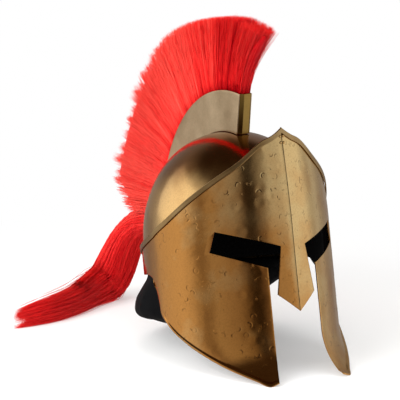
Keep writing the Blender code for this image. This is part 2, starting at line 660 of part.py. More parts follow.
def main():
    clear_scene()
    collection = bpy.data.collections.new("greek_helmet")
    bpy.context.scene.collection.children.link(collection)
    stand = bpy.data.objects.new("stand_point", None)
    lean = bpy.data.objects.new("lean", None)
    collection.objects.link(stand)
    collection.objects.link(lean)
    lean.parent = stand
    lean.rotation_euler.x = -LEAN

    plate = face_plate(collection)
    worn = [plate, brow_band(collection)]
    worn.append(bowl_shell("skull_bowl", collection, INSET, SHEET, bowl_edge, BOWL_GRID, BOWL_BRASS))
    worn.append(bowl_shell("skull_liner", collection, LINER_INSET, LINER_THICKNESS, liner_edge, LINER_GRID,
                           PADDING))
    worn += crest_box(collection)
    worn.append(crest_plume(collection))
    worn += rivets(collection)
    for obj in worn:
        obj.parent = lean

    # The cheek tips stand on the table; the pad and the tail are shaped against it
    bpy.context.view_layer.update()
    lift = -world_points(plate)[:, 2].min()
    lean.location.z = lift
    to_table = Matrix.Translation((0, 0, lift)) @ Matrix.Rotation(-LEAN, 4, "X")
    loose = [neck_pad(collection, to_table), crest_tail(collection, to_table)]
    for obj in loose:
        obj.parent = stand

    # The origin is under the middle of the whole object
    bpy.context.view_layer.update()
    points = np.concatenate([world_points(obj) for obj in worn + loose])
    middle = (points.min(axis=0) + points.max(axis=0)) / 2
    stand.location = (-middle[0], -middle[1], 0.0)
    bpy.context.view_layer.update()


main()
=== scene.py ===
import math

import bmesh
import bpy
import numpy as np
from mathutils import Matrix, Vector


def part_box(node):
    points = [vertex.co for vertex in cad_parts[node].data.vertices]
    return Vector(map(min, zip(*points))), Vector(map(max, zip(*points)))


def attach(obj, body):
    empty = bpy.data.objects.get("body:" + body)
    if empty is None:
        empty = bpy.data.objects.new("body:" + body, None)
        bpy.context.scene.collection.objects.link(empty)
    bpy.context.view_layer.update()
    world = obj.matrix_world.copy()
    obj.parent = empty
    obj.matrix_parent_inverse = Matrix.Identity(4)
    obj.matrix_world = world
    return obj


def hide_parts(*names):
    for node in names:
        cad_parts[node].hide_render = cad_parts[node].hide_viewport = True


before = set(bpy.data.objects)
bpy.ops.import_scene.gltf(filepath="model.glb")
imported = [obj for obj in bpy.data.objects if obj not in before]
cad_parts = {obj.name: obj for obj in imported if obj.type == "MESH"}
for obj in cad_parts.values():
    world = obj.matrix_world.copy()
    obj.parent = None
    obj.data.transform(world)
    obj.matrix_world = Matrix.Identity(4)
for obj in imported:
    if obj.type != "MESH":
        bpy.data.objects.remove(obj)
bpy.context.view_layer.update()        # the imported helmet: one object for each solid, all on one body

print("helmet: frame loaded,", len(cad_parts), "solids")

# Shapes are worked out in millimetres in the helmet's own frame: x to the wearer's left, y backwards from the
# middle of its plan, z up from the cheek tips. toWorld leans it back on the table and turns it to metres.
mm = 0.001

helmet = {
    "lean": 12.0,            # degrees
    "halfWidth": 107.0,
    "frontReach": 130.0,
    "backReach": 129.4,
    "frontPower": 1.7,       # the plan is blunt but pointed in front
    "sheet": 1.2,            # brass
    "gap": 0.3,              # between pieces that are fixed to each other
    "shellGap": 0.8,         # between the plate, the bowl and the lining
}


# general shape tools

def smoothColumn(table, station, column):
    # cubic pieces through one column of a table, each row's slope the mean of the slopes beside it
    x, y = table[:, 0], table[:, column]
    step = np.diff(y) / np.diff(x)
    slope = np.concatenate([step[:1], (step[1:] + step[:-1]) / 2, step[-1:]])
    slope[1:-1][step[1:] * step[:-1] <= 0] = 0
    s = np.clip(np.asarray(station, float), x[0], x[-1])
    i = np.clip(np.searchsorted(x, s, side="right") - 1, 0, len(x) - 2)
    width = x[i + 1] - x[i]
    t = (s - x[i]) / width
    return ((2 * t**3 - 3 * t**2 + 1) * y[i] + (t**3 - 2 * t**2 + t) * width * slope[i]
            + (3 * t**2 - 2 * t**3) * y[i + 1] + (t**3 - t**2) * width * slope[i + 1])


def easeIn(value):
    # 0 below 0, 1 above 1 and a smooth S between
    t = np.clip(value, 0, 1)
    return t * t * (3 - 2 * t)


def refine(values, times):
    # the same line of values with each interval cut into so many equal parts
    count = len(values)
    return np.interp(np.linspace(0, count - 1, (count - 1) * times + 1), np.arange(count), values)


def between(first, last, share):
    # straight rows from one line of points to another, at the given shares of the way
    return first[None] + np.asarray(share)[:, None, None] * (last - first)[None]


def gridFaces(rows, columns, wrapColumns=False):
    # one quad for each cell of a grid of points, with the last column joined to the first if asked
    r = np.arange(rows - 1)[:, None]
    c = np.arange(columns if wrapColumns else columns - 1)[None, :]
    d = (c + 1) % columns
    quads = np.stack(np.broadcast_arrays(r * columns + c, r * columns + d, (r + 1) * columns + d,
                                         (r + 1) * columns + c), -1)
    return quads.reshape(-1, 4)


def planPoint(turn, inset=0.0, power=None):
    # a superellipse x = w |sin t|^(2/e), y = -r cos t |cos t|^(2/e - 1), with e = 2 behind; and its normal
    c, s = np.cos(turn), np.abs(np.sin(turn))
    reach = np.where(c > 0, helmet["frontReach"], helmet["backReach"]) - inset
    e = np.where(c > 0, helmet["frontPower"] if power is None else power, 2.0)
    half = helmet["halfWidth"] - inset
    side = np.where(np.sin(turn) < 0, -1.0, 1.0)
    x = half * s ** (2 / e)
    y = -reach * np.sign(c) * np.abs(c) ** (2 / e)
    nx = s ** (2 - 2 / e) / half
    ny = -np.sign(c) * np.abs(c) ** (2 - 2 / e) / reach
    n = np.hypot(nx, ny)
    return side * x, y, side * nx / n, ny / n


def leanBack(points):
    # turn about x by the lean, so that the front rises
    a = math.radians(helmet["lean"])
    x, y, z = points[..., 0], points[..., 1], points[..., 2]
    return np.stack([x, y * math.cos(a) + z * math.sin(a), -y * math.sin(a) + z * math.cos(a)], -1)


# the frame's own box says where the leaned helmet stands
plateLow, plateHigh = (np.array(corner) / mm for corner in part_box("face_plate"))
place = {"x": (plateLow[0] + plateHigh[0]) / 2}


def toWorld(points):
    # lean, shift onto the table, millimetres to metres
    return (leanBack(np.asarray(points, float)) + (place["x"], place["y"], place["z"])) * mm


def onTable(points):
    # the leaned and shifted point in millimetres
    return toWorld(points) / mm


# making a mesh from whole arrays of points

weldWithin = 0.002 * mm


def weld(points, faces):
    # points in one small cell become one; a quad with two equal corners becomes a triangle
    keys = np.round(points / weldWithin).astype(np.int64)
    _, first, index = np.unique(keys, axis=0, return_index=True, return_inverse=True)
    index = index.reshape(-1)
    groups = []
    corners = []
    start = 0
    for group in faces:
        new = index[group]
        ids = np.arange(start, start + group.size).reshape(group.shape)
        start += group.size
        if group.shape[1] == 3:
            keep = (new[:, 0] != new[:, 1]) & (new[:, 1] != new[:, 2]) & (new[:, 2] != new[:, 0])
            groups.append(new[keep])
            corners.append(ids[keep])
            continue
        same = np.stack([new[:, i] == new[:, (i + 1) % 4] for i in range(4)], -1)
        whole = ~same.any(1)
        groups.append(new[whole])
        corners.append(ids[whole])
        for i in range(4):
            pick = same[:, i] & (same.sum(1) == 1)
            others = [j for j in range(4) if j != i]
            groups.append(new[pick][:, others])
            corners.append(ids[pick][:, others])
    return points[first], groups, corners, first


def fillMesh(name, points, faces):
    # a new mesh from an array of points and groups of faces of 3 or 4 corners
    mesh = bpy.data.meshes.new(name)
    mesh.vertices.add(len(points))
    mesh.vertices.foreach_set("co", points.astype(np.float32).ravel())
    corners = np.concatenate([group.ravel() for group in faces])
    sizes = np.concatenate([np.full(len(group), group.shape[1]) for group in faces])
    mesh.loops.add(len(corners))
    mesh.loops.foreach_set("vertex_index", corners.astype(np.int32))
    mesh.polygons.add(len(sizes))
    mesh.polygons.foreach_set("loop_start", (np.cumsum(sizes) - sizes).astype(np.int32))
    mesh.update(calc_edges=True)
    return mesh


def placeMesh(mesh, material, values):
    # named values for each point, smooth shading, and an object at the origin on the helmet's one body
    for key, value in values.items():
        layer = mesh.attributes.new(key, "FLOAT", "POINT")
        layer.data.foreach_set("value", value.astype(np.float32))
    mesh.polygons.foreach_set("use_smooth", np.ones(len(mesh.polygons), bool))
    obj = bpy.data.objects.new(mesh.name, mesh)
    bpy.context.scene.collection.objects.link(obj)
    mesh.materials.append(material)
    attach(obj, "root")
    return obj


def makePiece(name, points, faces, material, uv=None, values=None):
    # weld the arrays into a new mesh object: points, groups of faces, and for each point before the weld a uv
    # and named values
    points, groups, corners, first = weld(points, faces)
    mesh = fillMesh(name, points, groups)
    if uv is not None:
        source = np.concatenate([group.ravel() for group in faces])
        order = np.concatenate([group.ravel() for group in corners])
        layer = mesh.uv_layers.new(name="pattern")
        layer.data.foreach_set("uv", uv[source[order]].astype(np.float32).ravel())
    mesh.validate()
    return placeMesh(mesh, material, {key: value[first] for key, value in (values or {}).items()})


def thicken(obj, thickness):
    # a wall that grows inwards from the surface
    solid = obj.modifiers.new("sheet", "SOLIDIFY")
    solid.thickness = thickness * mm
    solid.offset = -1.0


def roundEdges(obj, width, segments=2, angle=40.0):
    # an arc of that width in place of each sharp edge
    bevel = obj.modifiers.new("edges", "BEVEL")
    bevel.width = width * mm
    bevel.segments = segments
    bevel.limit_method = "ANGLE"
    bevel.angle_limit = math.radians(angle)


# materials

def hexColour(text):
    # sRGB hex to linear: the standard curve for each channel
    values = [int(text[i:i + 2], 16) / 255 for i in (1, 3, 5)]
    return [v / 12.92 if v <= 0.04045 else ((v + 0.055) / 1.055) ** 2.4 for v in values] + [1.0]


def setNode(tree, node, links=None, inputs=None):
    # a node's socket values and its incoming links
    for key, value in (inputs or {}).items():
        node.inputs[key].default_value = value
    for key, (other, output) in (links or {}).items():
        tree.links.new(other.outputs[output], node.inputs[key])


def addNode(tree, kind, links=None, inputs=None, stops=(), **settings):
    # one node with its settings, its socket values, its incoming links and, on a ramp, its stops
    node = tree.nodes.new(kind)
    for key, value in settings.items():
        setattr(node, key, value)
    setNode(tree, node, links, inputs)
    if stops:
        elements = node.color_ramp.elements
        while len(elements) < len(stops):
            elements.new(0.5)
        for element, (position, colour) in zip(elements, stops):
            element.position = position
            element.color = colour
    return node


def newMaterial(name):
    # a material with the one shader, and its node tree
    material = bpy.data.materials.new(name)
    material.use_nodes = True
    tree = material.node_tree
    return material, tree, tree.nodes["Principled BSDF"]


def grey(value):
    # a linear grey
    return [value, value, value, 1.0]


brass = {
    "straw": "#d6b67e",
    "gold": "#bf8545",
    "roughness": (0.13, 0.22),
    "cloud": 38.0,           # mm across a cloud of tarnish
    "speck": 2.2,            # mm across a speck of it
    "scratch": 0.6,          # mm across a wiping scratch, and its depth
    "scratchDepth": 0.05,
    "wave": 11.0,            # mm from wave to wave of the beaten sheet, and their depth, plain and hammered
    "waveDepth": (0.08, 0.34),
    "crease": 0.9,           # mm from the ridge to the painted shade line beside it, then its dark core and its reach
    "creaseCore": 0.35,
    "creaseReach": 1.2,
    "patch": 42.0,           # mm across a patch with more hammer marks, or with fewer
    "markSpacing": 9.5,      # mm between the places where a hammer mark may lie
    "markRadius": 2.6,
    "markDepth": 0.20,
    # large and small marks: spacing, radius and depth as shares, and how few of the places have one
    "marks": [(1.0, 1.0, 1.0, 1.28), (0.55, 0.36, 0.6, 1.43)],
}
noiseBand = {"From Min": 0.3, "From Max": 0.7}     # where most of a noise texture's values lie
multiply = {"data_type": "RGBA", "blend_type": "MULTIPLY"}


def brassSheet(name, hammered, straw, gold, roughness, brushing=0.0, tarnish=0.0):
    # rolled brass sheet, hand polished and lacquered: pale straw going over to golden brown by the painted tone
    # on each point (painted reflection and painted shade) and by tarnish in soft clouds, and fine wiping
    # scratches drawn out along the height
    material, tree, shader = newMaterial(name)
    place3d = addNode(tree, "ShaderNodeTexCoord")
    clouds = addNode(tree, "ShaderNodeTexNoise", {"Vector": (place3d, "Object")},
                     {"Scale": 1 / (brass["cloud"] * mm), "Detail": 3.0, "Roughness": 0.5})
    specks = addNode(tree, "ShaderNodeTexNoise", {"Vector": (place3d, "Object")},
                     {"Scale": 1 / (brass["speck"] * mm), "Detail": 3.0, "Roughness": 0.7})
    # the painted tone of each point: painted reflection on the face plate, painted shade on the bowl's crown
    paintedTint = addNode(tree, "ShaderNodeAttribute", attribute_name="paintedWarmth", attribute_type="GEOMETRY")
    shift = addNode(tree, "ShaderNodeMapRange", {"Value": (clouds, "Fac")},
                    noiseBand | {"To Min": tarnish - 0.3, "To Max": tarnish + 0.3})
    share = addNode(tree, "ShaderNodeMath", {0: (paintedTint, "Fac"), 1: (shift, "Result")}, operation="ADD")
    tone = addNode(tree, "ShaderNodeValToRGB", {"Fac": (share, "Value")},
                   stops=[(0.1, hexColour(straw)), (0.9, hexColour(gold))])
    dull = addNode(tree, "ShaderNodeValToRGB", {"Fac": (specks, "Fac")},
                   stops=[(0.36, grey(0.90)), (0.56, grey(1.0))])
    colour = addNode(tree, "ShaderNodeMix", {6: (tone, "Color"), 7: (dull, "Color")}, {0: 1.0}, **multiply)
    rough = addNode(tree, "ShaderNodeMapRange", {"Value": (clouds, "Fac")},
                    noiseBand | {"To Min": roughness[1], "To Max": roughness[0]})
    stretched = addNode(tree, "ShaderNodeMapping", {"Vector": (place3d, "Object")}, {"Scale": (1.0, 1.0, 0.06)})
    scratches = addNode(tree, "ShaderNodeTexNoise", {"Vector": (stretched, "Vector")},
                        {"Scale": 1 / (brass["scratch"] * mm), "Detail": 2.0})
    bump = addNode(tree, "ShaderNodeBump", {"Height": (scratches, "Fac")},
                   {"Strength": 0.02 + brushing, "Distance": brass["scratchDepth"] * mm})
    waves = addNode(tree, "ShaderNodeTexNoise", {"Vector": (place3d, "Object")},
                    {"Scale": 1 / (brass["wave"] * mm), "Detail": 1.0})
    bump = addNode(tree, "ShaderNodeBump", {"Height": (waves, "Fac"), "Normal": (bump, "Normal")},
                   {"Strength": 0.35, "Distance": brass["waveDepth"][hammered] * mm})
    if hammered:
        bump, marks = hammerMarks(tree, bump)
        # painted shade in the ridge's crease and in the hammer marks
        colour = paintedShadeLines(tree, colour, marks)
    setNode(tree, shader, {"Base Color": (colour, 2), "Roughness": (rough, "Result"),
                           "Normal": (bump, "Normal")}, {"Metallic": 1.0})
    return material


def paintedShadeLines(tree, colour, marks):
    # painted shade in the foot of the ridge's crease, on the wearer's right of it, and in the hammer marks
    flat = addNode(tree, "ShaderNodeUVMap", uv_map="pattern")
    parts = addNode(tree, "ShaderNodeSeparateXYZ", {"Vector": (flat, "UV")})
    moved = addNode(tree, "ShaderNodeMath", {0: (parts, "X")}, {1: brass["crease"] * mm}, operation="ADD")
    away = addNode(tree, "ShaderNodeMath", {0: (moved, "Value")}, operation="ABSOLUTE")
    creaseShade = addNode(tree, "ShaderNodeMapRange", {"Value": (away, "Value")},
                    {"From Min": brass["creaseCore"] * mm, "From Max": brass["creaseReach"] * mm,
                     "To Min": 0.30, "To Max": 1.0})
    markShade = addNode(tree, "ShaderNodeMapRange", {"Value": (marks, "Value")}, {"To Min": 1.0, "To Max": 0.74})
    both = addNode(tree, "ShaderNodeMath", {0: (creaseShade, "Result"), 1: (markShade, "Result")}, operation="MULTIPLY")
    return addNode(tree, "ShaderNodeMix", {6: (colour, 2), 7: (both, "Value")}, {0: 1.0}, **multiply)


def hammerMarks(tree, bump):
    # crescents and pocks on the flat pattern (uv in metres): a ring round the nearest cell centre, kept
    # on one side of it for a crescent, in cells and clusters chosen by noise
    flat = addNode(tree, "ShaderNodeUVMap", uv_map="pattern")
    patches = addNode(tree, "ShaderNodeTexNoise", {"Vector": (flat, "UV")},
                      {"Scale": 1 / (brass["patch"] * mm), "Detail": 1.0}, noise_dimensions="2D")
    marks = None
    for spacingShare, radiusShare, depthShare, few in brass["marks"]:
        radius = brass["markRadius"] * radiusShare * mm
        cells = addNode(tree, "ShaderNodeTexVoronoi", {"Vector": (flat, "UV")},
                        {"Scale": 1 / (brass["markSpacing"] * spacingShare * mm), "Randomness": 0.9},
                        voronoi_dimensions="2D")
        away = addNode(tree, "ShaderNodeVectorMath", {0: (flat, "UV"), 1: (cells, "Position")},
                       operation="SUBTRACT")
        reach = addNode(tree, "ShaderNodeVectorMath", {0: (away, "Vector")}, operation="LENGTH")
        facing = addNode(tree, "ShaderNodeVectorMath", {0: (cells, "Color")}, {1: (0.5, 0.5, 0.5)},
                         operation="SUBTRACT")
        side = addNode(tree, "ShaderNodeVectorMath", {0: (away, "Vector"), 1: (facing, "Vector")},
                       operation="DOT_PRODUCT")
        inner = addNode(tree, "ShaderNodeMapRange", {"Value": (reach, "Value")},
                        {"From Min": radius * 0.45, "From Max": radius}, interpolation_type="SMOOTHSTEP")
        outer = addNode(tree, "ShaderNodeMapRange", {"Value": (reach, "Value")},
                        {"From Min": radius, "From Max": radius * 1.5, "To Min": 1.0, "To Max": 0.0},
                        interpolation_type="SMOOTHSTEP")
        crescent = addNode(tree, "ShaderNodeMapRange", {"Value": (side, "Value")},
                           {"From Min": -0.1 * radius, "From Max": 0.3 * radius})
        split = addNode(tree, "ShaderNodeSeparateColor", {"Color": (cells, "Color")})
        chance = addNode(tree, "ShaderNodeMath", {0: (split, "Blue"), 1: (patches, "Fac")}, operation="ADD")
        chosen = addNode(tree, "ShaderNodeMath", {0: (chance, "Value")}, {1: few}, operation="GREATER_THAN")
        height = (inner, "Result")
        for factor in ((outer, "Result"), (crescent, "Result"), (chosen, "Value")):
            product = addNode(tree, "ShaderNodeMath", {0: height, 1: factor}, operation="MULTIPLY")
            height = (product, "Value")
        bump = addNode(tree, "ShaderNodeBump", {"Height": height, "Normal": (bump, "Normal")},
                       {"Strength": 0.9, "Distance": brass["markDepth"] * depthShare * mm}, invert=True)
        if marks:
            product = addNode(tree, "ShaderNodeMath", {0: (marks, "Value"), 1: height}, operation="MAXIMUM")
        marks = product
    return bump, marks


hair = {
    "root": "#6a0008",
    "deep": "#c40310",
    "red": "#ee2c2a",
    "coral": "#ff5f52",
}


def dyedHair(name):
    # bleached and dyed plant fibre: satin strands whose tone changes from lock to lock and lightens to the
    # tips; the tone also carries painted light and painted shade
    material, tree, shader = newMaterial(name)
    tone = addNode(tree, "ShaderNodeAttribute", attribute_name="tone", attribute_type="GEOMETRY")
    places = zip((0.0, 0.35, 0.7, 1.0), ("root", "deep", "red", "coral"))
    mixed = addNode(tree, "ShaderNodeValToRGB", {"Fac": (tone, "Fac")},
                    stops=[(share, hexColour(hair[key])) for share, key in places])
    setNode(tree, shader, {"Base Color": (mixed, "Color")}, {"Roughness": 0.5, "Specular IOR Level": 0.15})
    return material


def blackCloth(name, spacing, rough, colour, seam=None):
    # woven black polyester over foam, or pressed felt: near-black threads, dull; a sewn seam is a pressed line
    # at one height over the table
    material, tree, shader = newMaterial(name)
    place3d = addNode(tree, "ShaderNodeTexCoord")
    weave = addNode(tree, "ShaderNodeTexNoise", {"Vector": (place3d, "Object")},
                    {"Scale": 1 / (spacing * mm), "Detail": 3.0})
    thread = hexColour(colour)
    shade = [channel * 0.5 for channel in thread[:3]] + [1.0]
    tone = addNode(tree, "ShaderNodeValToRGB", {"Fac": (weave, "Fac")}, stops=[(0.3, shade), (0.7, thread)])
    bump = addNode(tree, "ShaderNodeBump", {"Height": (weave, "Fac")},
                   {"Strength": 0.5, "Distance": 0.3 * spacing * mm})
    if seam:
        parts = addNode(tree, "ShaderNodeSeparateXYZ", {"Vector": (place3d, "Object")})
        away = addNode(tree, "ShaderNodeMath", {0: (parts, "Z")}, {1: seam * mm}, operation="SUBTRACT")
        away = addNode(tree, "ShaderNodeMath", {0: (away, "Value")}, operation="ABSOLUTE")
        groove = addNode(tree, "ShaderNodeMapRange", {"Value": (away, "Value")},
                         {"From Min": 0.0, "From Max": 1.4 * mm}, interpolation_type="SMOOTHSTEP")
        bump = addNode(tree, "ShaderNodeBump", {"Height": (groove, "Result"), "Normal": (bump, "Normal")},
                       {"Strength": 1.0, "Distance": 1.2 * mm})
    setNode(tree, shader, {"Base Color": (tone, "Color"), "Normal": (bump, "Normal")},
            {"Roughness": rough, "Specular IOR Level": 0.2})
    return material


plateBrass = brassSheet("hammeredBrass", True, brass["straw"], brass["gold"], brass["roughness"])
bowlBrass = brassSheet("spunBrass", False, "#d2aa70", "#93663a", (0.15, 0.24), 0.0, 0.1)
bandBrass = brassSheet("bandBrass", False, "#b79a6c", "#8a6a40", (0.26, 0.36), 0.0, 0.5)
crestBrass = brassSheet("paleBrass", False, "#d9bf99", "#ab8e68", (0.28, 0.38), 0.10, 0.45)
stripBrass = brassSheet("oliveBrass", False, "#9a7c42", "#715726", (0.24, 0.34), 0.20, 0.4)
padCloth = blackCloth("paddingCloth", 0.9, 0.8, "#070709", 8.0)
liningFelt = blackCloth("liningFelt", 1.4, 0.95, "#050506")
dyedFibre = dyedHair("dyedFibre")
print("helmet: materials made")


# the face plate: a flat pattern of turns and heights, rolled onto the plan, flared at the cheeks

plate = {
    "peak": 285.6, "nape": 134.0, "collar": 19.4, "nasalTip": 82.7, "nasalCorner": 103.0,
    "eyeInner": 155.8, "eyeOpening": 22.6, "eyeRise": 22.1,
    "nasalHalfTop": 15.2, "nasalHalfBottom": 23.4,
    "cheekTurn": 20.0, "eyeEndTurn": 46.4, "eyeEndSlant": 3.7,
    "flareHeight": 61.0, "flareRadius": 75.0, "peakClosing": 5.5, "closingStart": 0.63,
    "sideTurns": (84.0, 106.0),      # the lower edge climbs to the nape between these
    "sideShares": (0.35, 0.60),      # where the eye's two levels end at the back, as shares of the collar
    "hemWidth": 5.0, "hemRise": 1.7, "hemEnd": 88.0, "hemFade": 10.0,
    "ridgeRise": 0.7, "ridgeWidth": 2.2,
    "patternRadius": 118.0,          # mm of the flat pattern for each radian of turn
    "dents": 170, "dentRadius": (4.0, 9.0), "dentDepth": (0.06, 0.24), "dentSeed": 4, "waves": 0.11,
    "calmRim": 9.0, "calmRidge": 6.0,    # mm over which the dents fade towards the rim and the ridge
    "edges": 0.40, "finer": 5,
    # top edge: turn from the ridge, height as a share of the way from the back of the collar to the peak
    "rimLine": np.array([
        (0.0, 1.000), (9.4, 0.937), (17.5, 0.892), (31.0, 0.745), (43.5, 0.633), (57.8, 0.495),
        (75.6, 0.320), (94.0, 0.201), (108.0, 0.134), (130.0, 0.065), (155.0, 0.017), (180.0, 0.000)]),
    # lower edge: turn at the top of a column, turn at the edge, height as a share of the nape's
    "edgeLine": np.array([
        (20.0, 20.0, 0.060), (24.0, 24.0, 0.040), (30.0, 30.0, 0.085), (50.1, 50.1, 0.243),
        (70.0, 70.0, 0.433), (83.5, 83.5, 0.597), (90.0, 89.4, 0.687), (93.0, 90.3, 0.757),
        (97.0, 92.0, 0.860), (101.0, 95.4, 0.965), (105.0, 100.5, 0.998), (112.0, 110.0, 1.000),
        (180.0, 180.0, 1.000)]),
}


def rimHeight(turn):
    # from the collar's height behind up to the peak, by the table's share
    low = plate["nape"] + plate["collar"]
    return low + (plate["peak"] - low) * smoothColumn(plate["rimLine"], np.abs(turn), 1)


def platePoint(turn, height, offset=0.0):
    # plan point pushed along its normal by an arc of flare below, a closing power curve above, and an offset
    turn, height = np.broadcast_arrays(np.radians(turn), height)
    x, y, nx, ny = planPoint(turn)
    radius = plate["flareRadius"]
    below = np.clip(plate["flareHeight"] - height, 0, 0.97 * radius)
    flare = radius - np.sqrt(radius**2 - below**2)
    start = plate["closingStart"] * plate["peak"]
    closing = plate["peakClosing"] * (np.clip(height - start, 0, None) / (plate["peak"] - start)) ** 1.5
    out = flare - closing + offset
    return np.stack([x + nx * out, y + ny * out, height], -1)


def platePatches(finer):
    # the half plate as five grids of (turn, height, bead offset) that share their borders: over the eyes,
    # under them, the nasal, the side between their levels, and the rolled hem
    p = plate
    eyeEnd = p["eyeEndTurn"] + p["eyeEndSlant"]
    nasalTurn = math.degrees(math.asin((p["nasalHalfTop"] / helmet["halfWidth"]) ** (helmet["frontPower"] / 2)))
    slotTurn = refine(np.linspace(p["cheekTurn"], eyeEnd, 7), finer)
    climb, level = p["sideTurns"]
    side = refine(np.concatenate([np.linspace(eyeEnd, climb, 6), np.linspace(climb, level, 10)[1:],
                                  np.linspace(level, 180.0, 16)[1:]]), finer // 2)

    def slotLine(turn, start, first, last):
        # a straight rise from the slot's inner corner to its outer one
        return start + p["eyeRise"] * np.clip((turn - first) / (last - first), 0, 1)

    eyeTop = lambda turn: slotLine(turn, p["eyeInner"], nasalTurn, p["eyeEndTurn"])
    eyeLow = lambda turn: slotLine(turn, p["eyeInner"] - p["eyeOpening"], p["cheekTurn"], eyeEnd)
    past = (side - side[0]) / (180.0 - side[0])
    ease = np.sqrt(past)
    rise = rimHeight(180.0) - p["nape"]
    lowStart, highStart = eyeLow(side[0]), eyeTop(p["eyeEndTurn"])
    lowEnd, highEnd = (p["nape"] + share * rise for share in p["sideShares"])
    sideLow = np.stack([side, lowStart + (lowEnd - lowStart) * ease], -1)
    sideHigh = np.stack([p["eyeEndTurn"] + (180.0 - p["eyeEndTurn"]) * past,
                         highStart + (highEnd - highStart) * ease], -1)
    overTurn = refine(np.concatenate([
        np.linspace(0, nasalTurn, 4), np.linspace(nasalTurn, p["cheekTurn"], 3)[1:],
        np.linspace(p["cheekTurn"], p["eyeEndTurn"], 7)[1:]]), finer)
    over = np.stack([overTurn, eyeTop(overTurn)], -1)
    high = np.concatenate([over, sideHigh[1:]])
    top = np.stack([high[:, 0], rimHeight(high[:, 0])], -1)
    upper = between(high, top, np.linspace(0, 1, 12 * finer + 1))
    low = np.concatenate([np.stack([slotTurn, eyeLow(slotTurn)], -1), sideLow[1:]])
    edge = np.stack([smoothColumn(p["edgeLine"], low[:, 0], 1),
                     p["nape"] * smoothColumn(p["edgeLine"], low[:, 0], 2)], -1)
    length = np.hypot(np.radians(low[:, 0] - edge[:, 0]) * helmet["halfWidth"], low[:, 1] - edge[:, 1])
    hemTop = edge + (p["hemWidth"] / length)[:, None] * (low - edge)
    hemShare = np.linspace(0, 1, 13)
    hem = between(edge, hemTop, hemShare)
    full = np.clip((p["hemEnd"] - edge[:, 0]) / p["hemFade"], 0, 1)
    bead = p["hemRise"] * np.sin(math.pi * hemShare)[:, None] ** 0.8 * full[None]
    lower = between(hemTop, low, np.linspace(0, 1, 14 * finer + 1))
    across = np.linspace(0, 1, 3 * finer + 1)
    bottom = np.degrees(np.arcsin((p["nasalHalfBottom"] * across / helmet["halfWidth"])
                                  ** (helmet["frontPower"] / 2)))
    tip = np.stack([bottom, p["nasalTip"] + (p["nasalCorner"] - p["nasalTip"]) * across], -1)
    nasal = between(tip, over[:3 * finer + 1], np.linspace(0, 1, 9 * finer + 1))
    middle = between(sideLow, sideHigh, np.linspace(0, 1, 2 * finer + 1))
    return [(grid, np.zeros(grid.shape[:2])) for grid in (upper, lower, nasal, middle)] + [(hem, bead)]


def dentOffset(arc, height):
    # slow waves left by the planishing hammer, a product of two sines, and the sum of many shallow dents:
    # depth (1 - (d/r)^2)^2 inside each radius, with a faint lip round it
    rng = np.random.default_rng(plate["dentSeed"])
    total = (plate["waves"] * np.sin(arc / 9.0 + 1.4 * np.sin(height / 23.0))
             * np.sin(height / 19.0 + arc / 31.0))
    reach = 1.9 * helmet["halfWidth"]
    for _ in range(plate["dents"]):
        centre = (rng.uniform(-reach, reach), rng.uniform(10, 270))
        radius = rng.uniform(*plate["dentRadius"])
        depth = rng.uniform(*plate["dentDepth"])
        d = np.hypot(arc - centre[0], height - centre[1]) / radius
        total -= depth * np.clip(1 - d**2, 0, None) ** 2
        total += 0.25 * depth * np.exp(-((d - 1.15) / 0.22) ** 2)
    return total


def makeFacePlate():
    # both halves of the flat pattern, each point raised by the hem's bead, a fold exp(-|arc| / width) along
    # the ridge and the dents
    points, faces, patterns, paintedWarmth = [], [], [], []
    start = 0
    for hand in (-1, 1):
        for grid, bead in platePatches(plate["finer"]):
            turn, height = hand * grid[..., 0], grid[..., 1]
            arc = np.radians(turn) * plate["patternRadius"]
            fold = plate["ridgeRise"] * np.exp(-np.abs(arc) / plate["ridgeWidth"])
            calm = easeIn((rimHeight(turn) - height) / plate["calmRim"])
            calm = calm * easeIn(np.abs(arc) / plate["calmRidge"])
            dents = dentOffset(arc, height) * calm * (bead < 0.1)
            points.append(platePoint(turn, height, bead + fold + dents).reshape(-1, 3))
            rows, columns = turn.shape
            quads = gridFaces(rows, columns) + start
            faces.append(quads if hand > 0 else quads[:, ::-1])
            patterns.append(np.stack([arc, height], -1).reshape(-1, 2) * mm)
            # painted reflection, partly tarnish: pale straw over the brow and on the wearer's left, golden on
            # the right side and down that cheek, where the two sides mirror the room differently
            high = easeIn((height - 110) / 150)
            left = easeIn((arc + 14) / 16)
            pale = (1 - left) * high * (1 - 0.7 * easeIn((-arc - 45) / 60)) + left * (0.6 + 0.4 * high)
            paintedWarmth.append((1 - pale).reshape(-1))
            start += turn.size
    points = np.concatenate(points)
    # the plate's own extent, leaned, is set on the frame's box
    leaned = leanBack(points)
    place["y"] = plateLow[1] - leaned[:, 1].min()
    place["z"] = plateLow[2] - leaned[:, 2].min()
    obj = makePiece("facePlate", toWorld(points), [np.concatenate(faces)], plateBrass,
                    uv=np.concatenate(patterns), values={"paintedWarmth": np.concatenate(paintedWarmth)})
    thicken(obj, helmet["sheet"])
    roundEdges(obj, plate["edges"])
    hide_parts("face_plate")
    print("helmet: face plate,", len(obj.data.polygons), "faces")


makeFacePlate()


# the band along the plate's top edge

band = {"width": 6.0, "thickness": 1.6, "lip": 0.35, "stations": 360, "corners": 24}


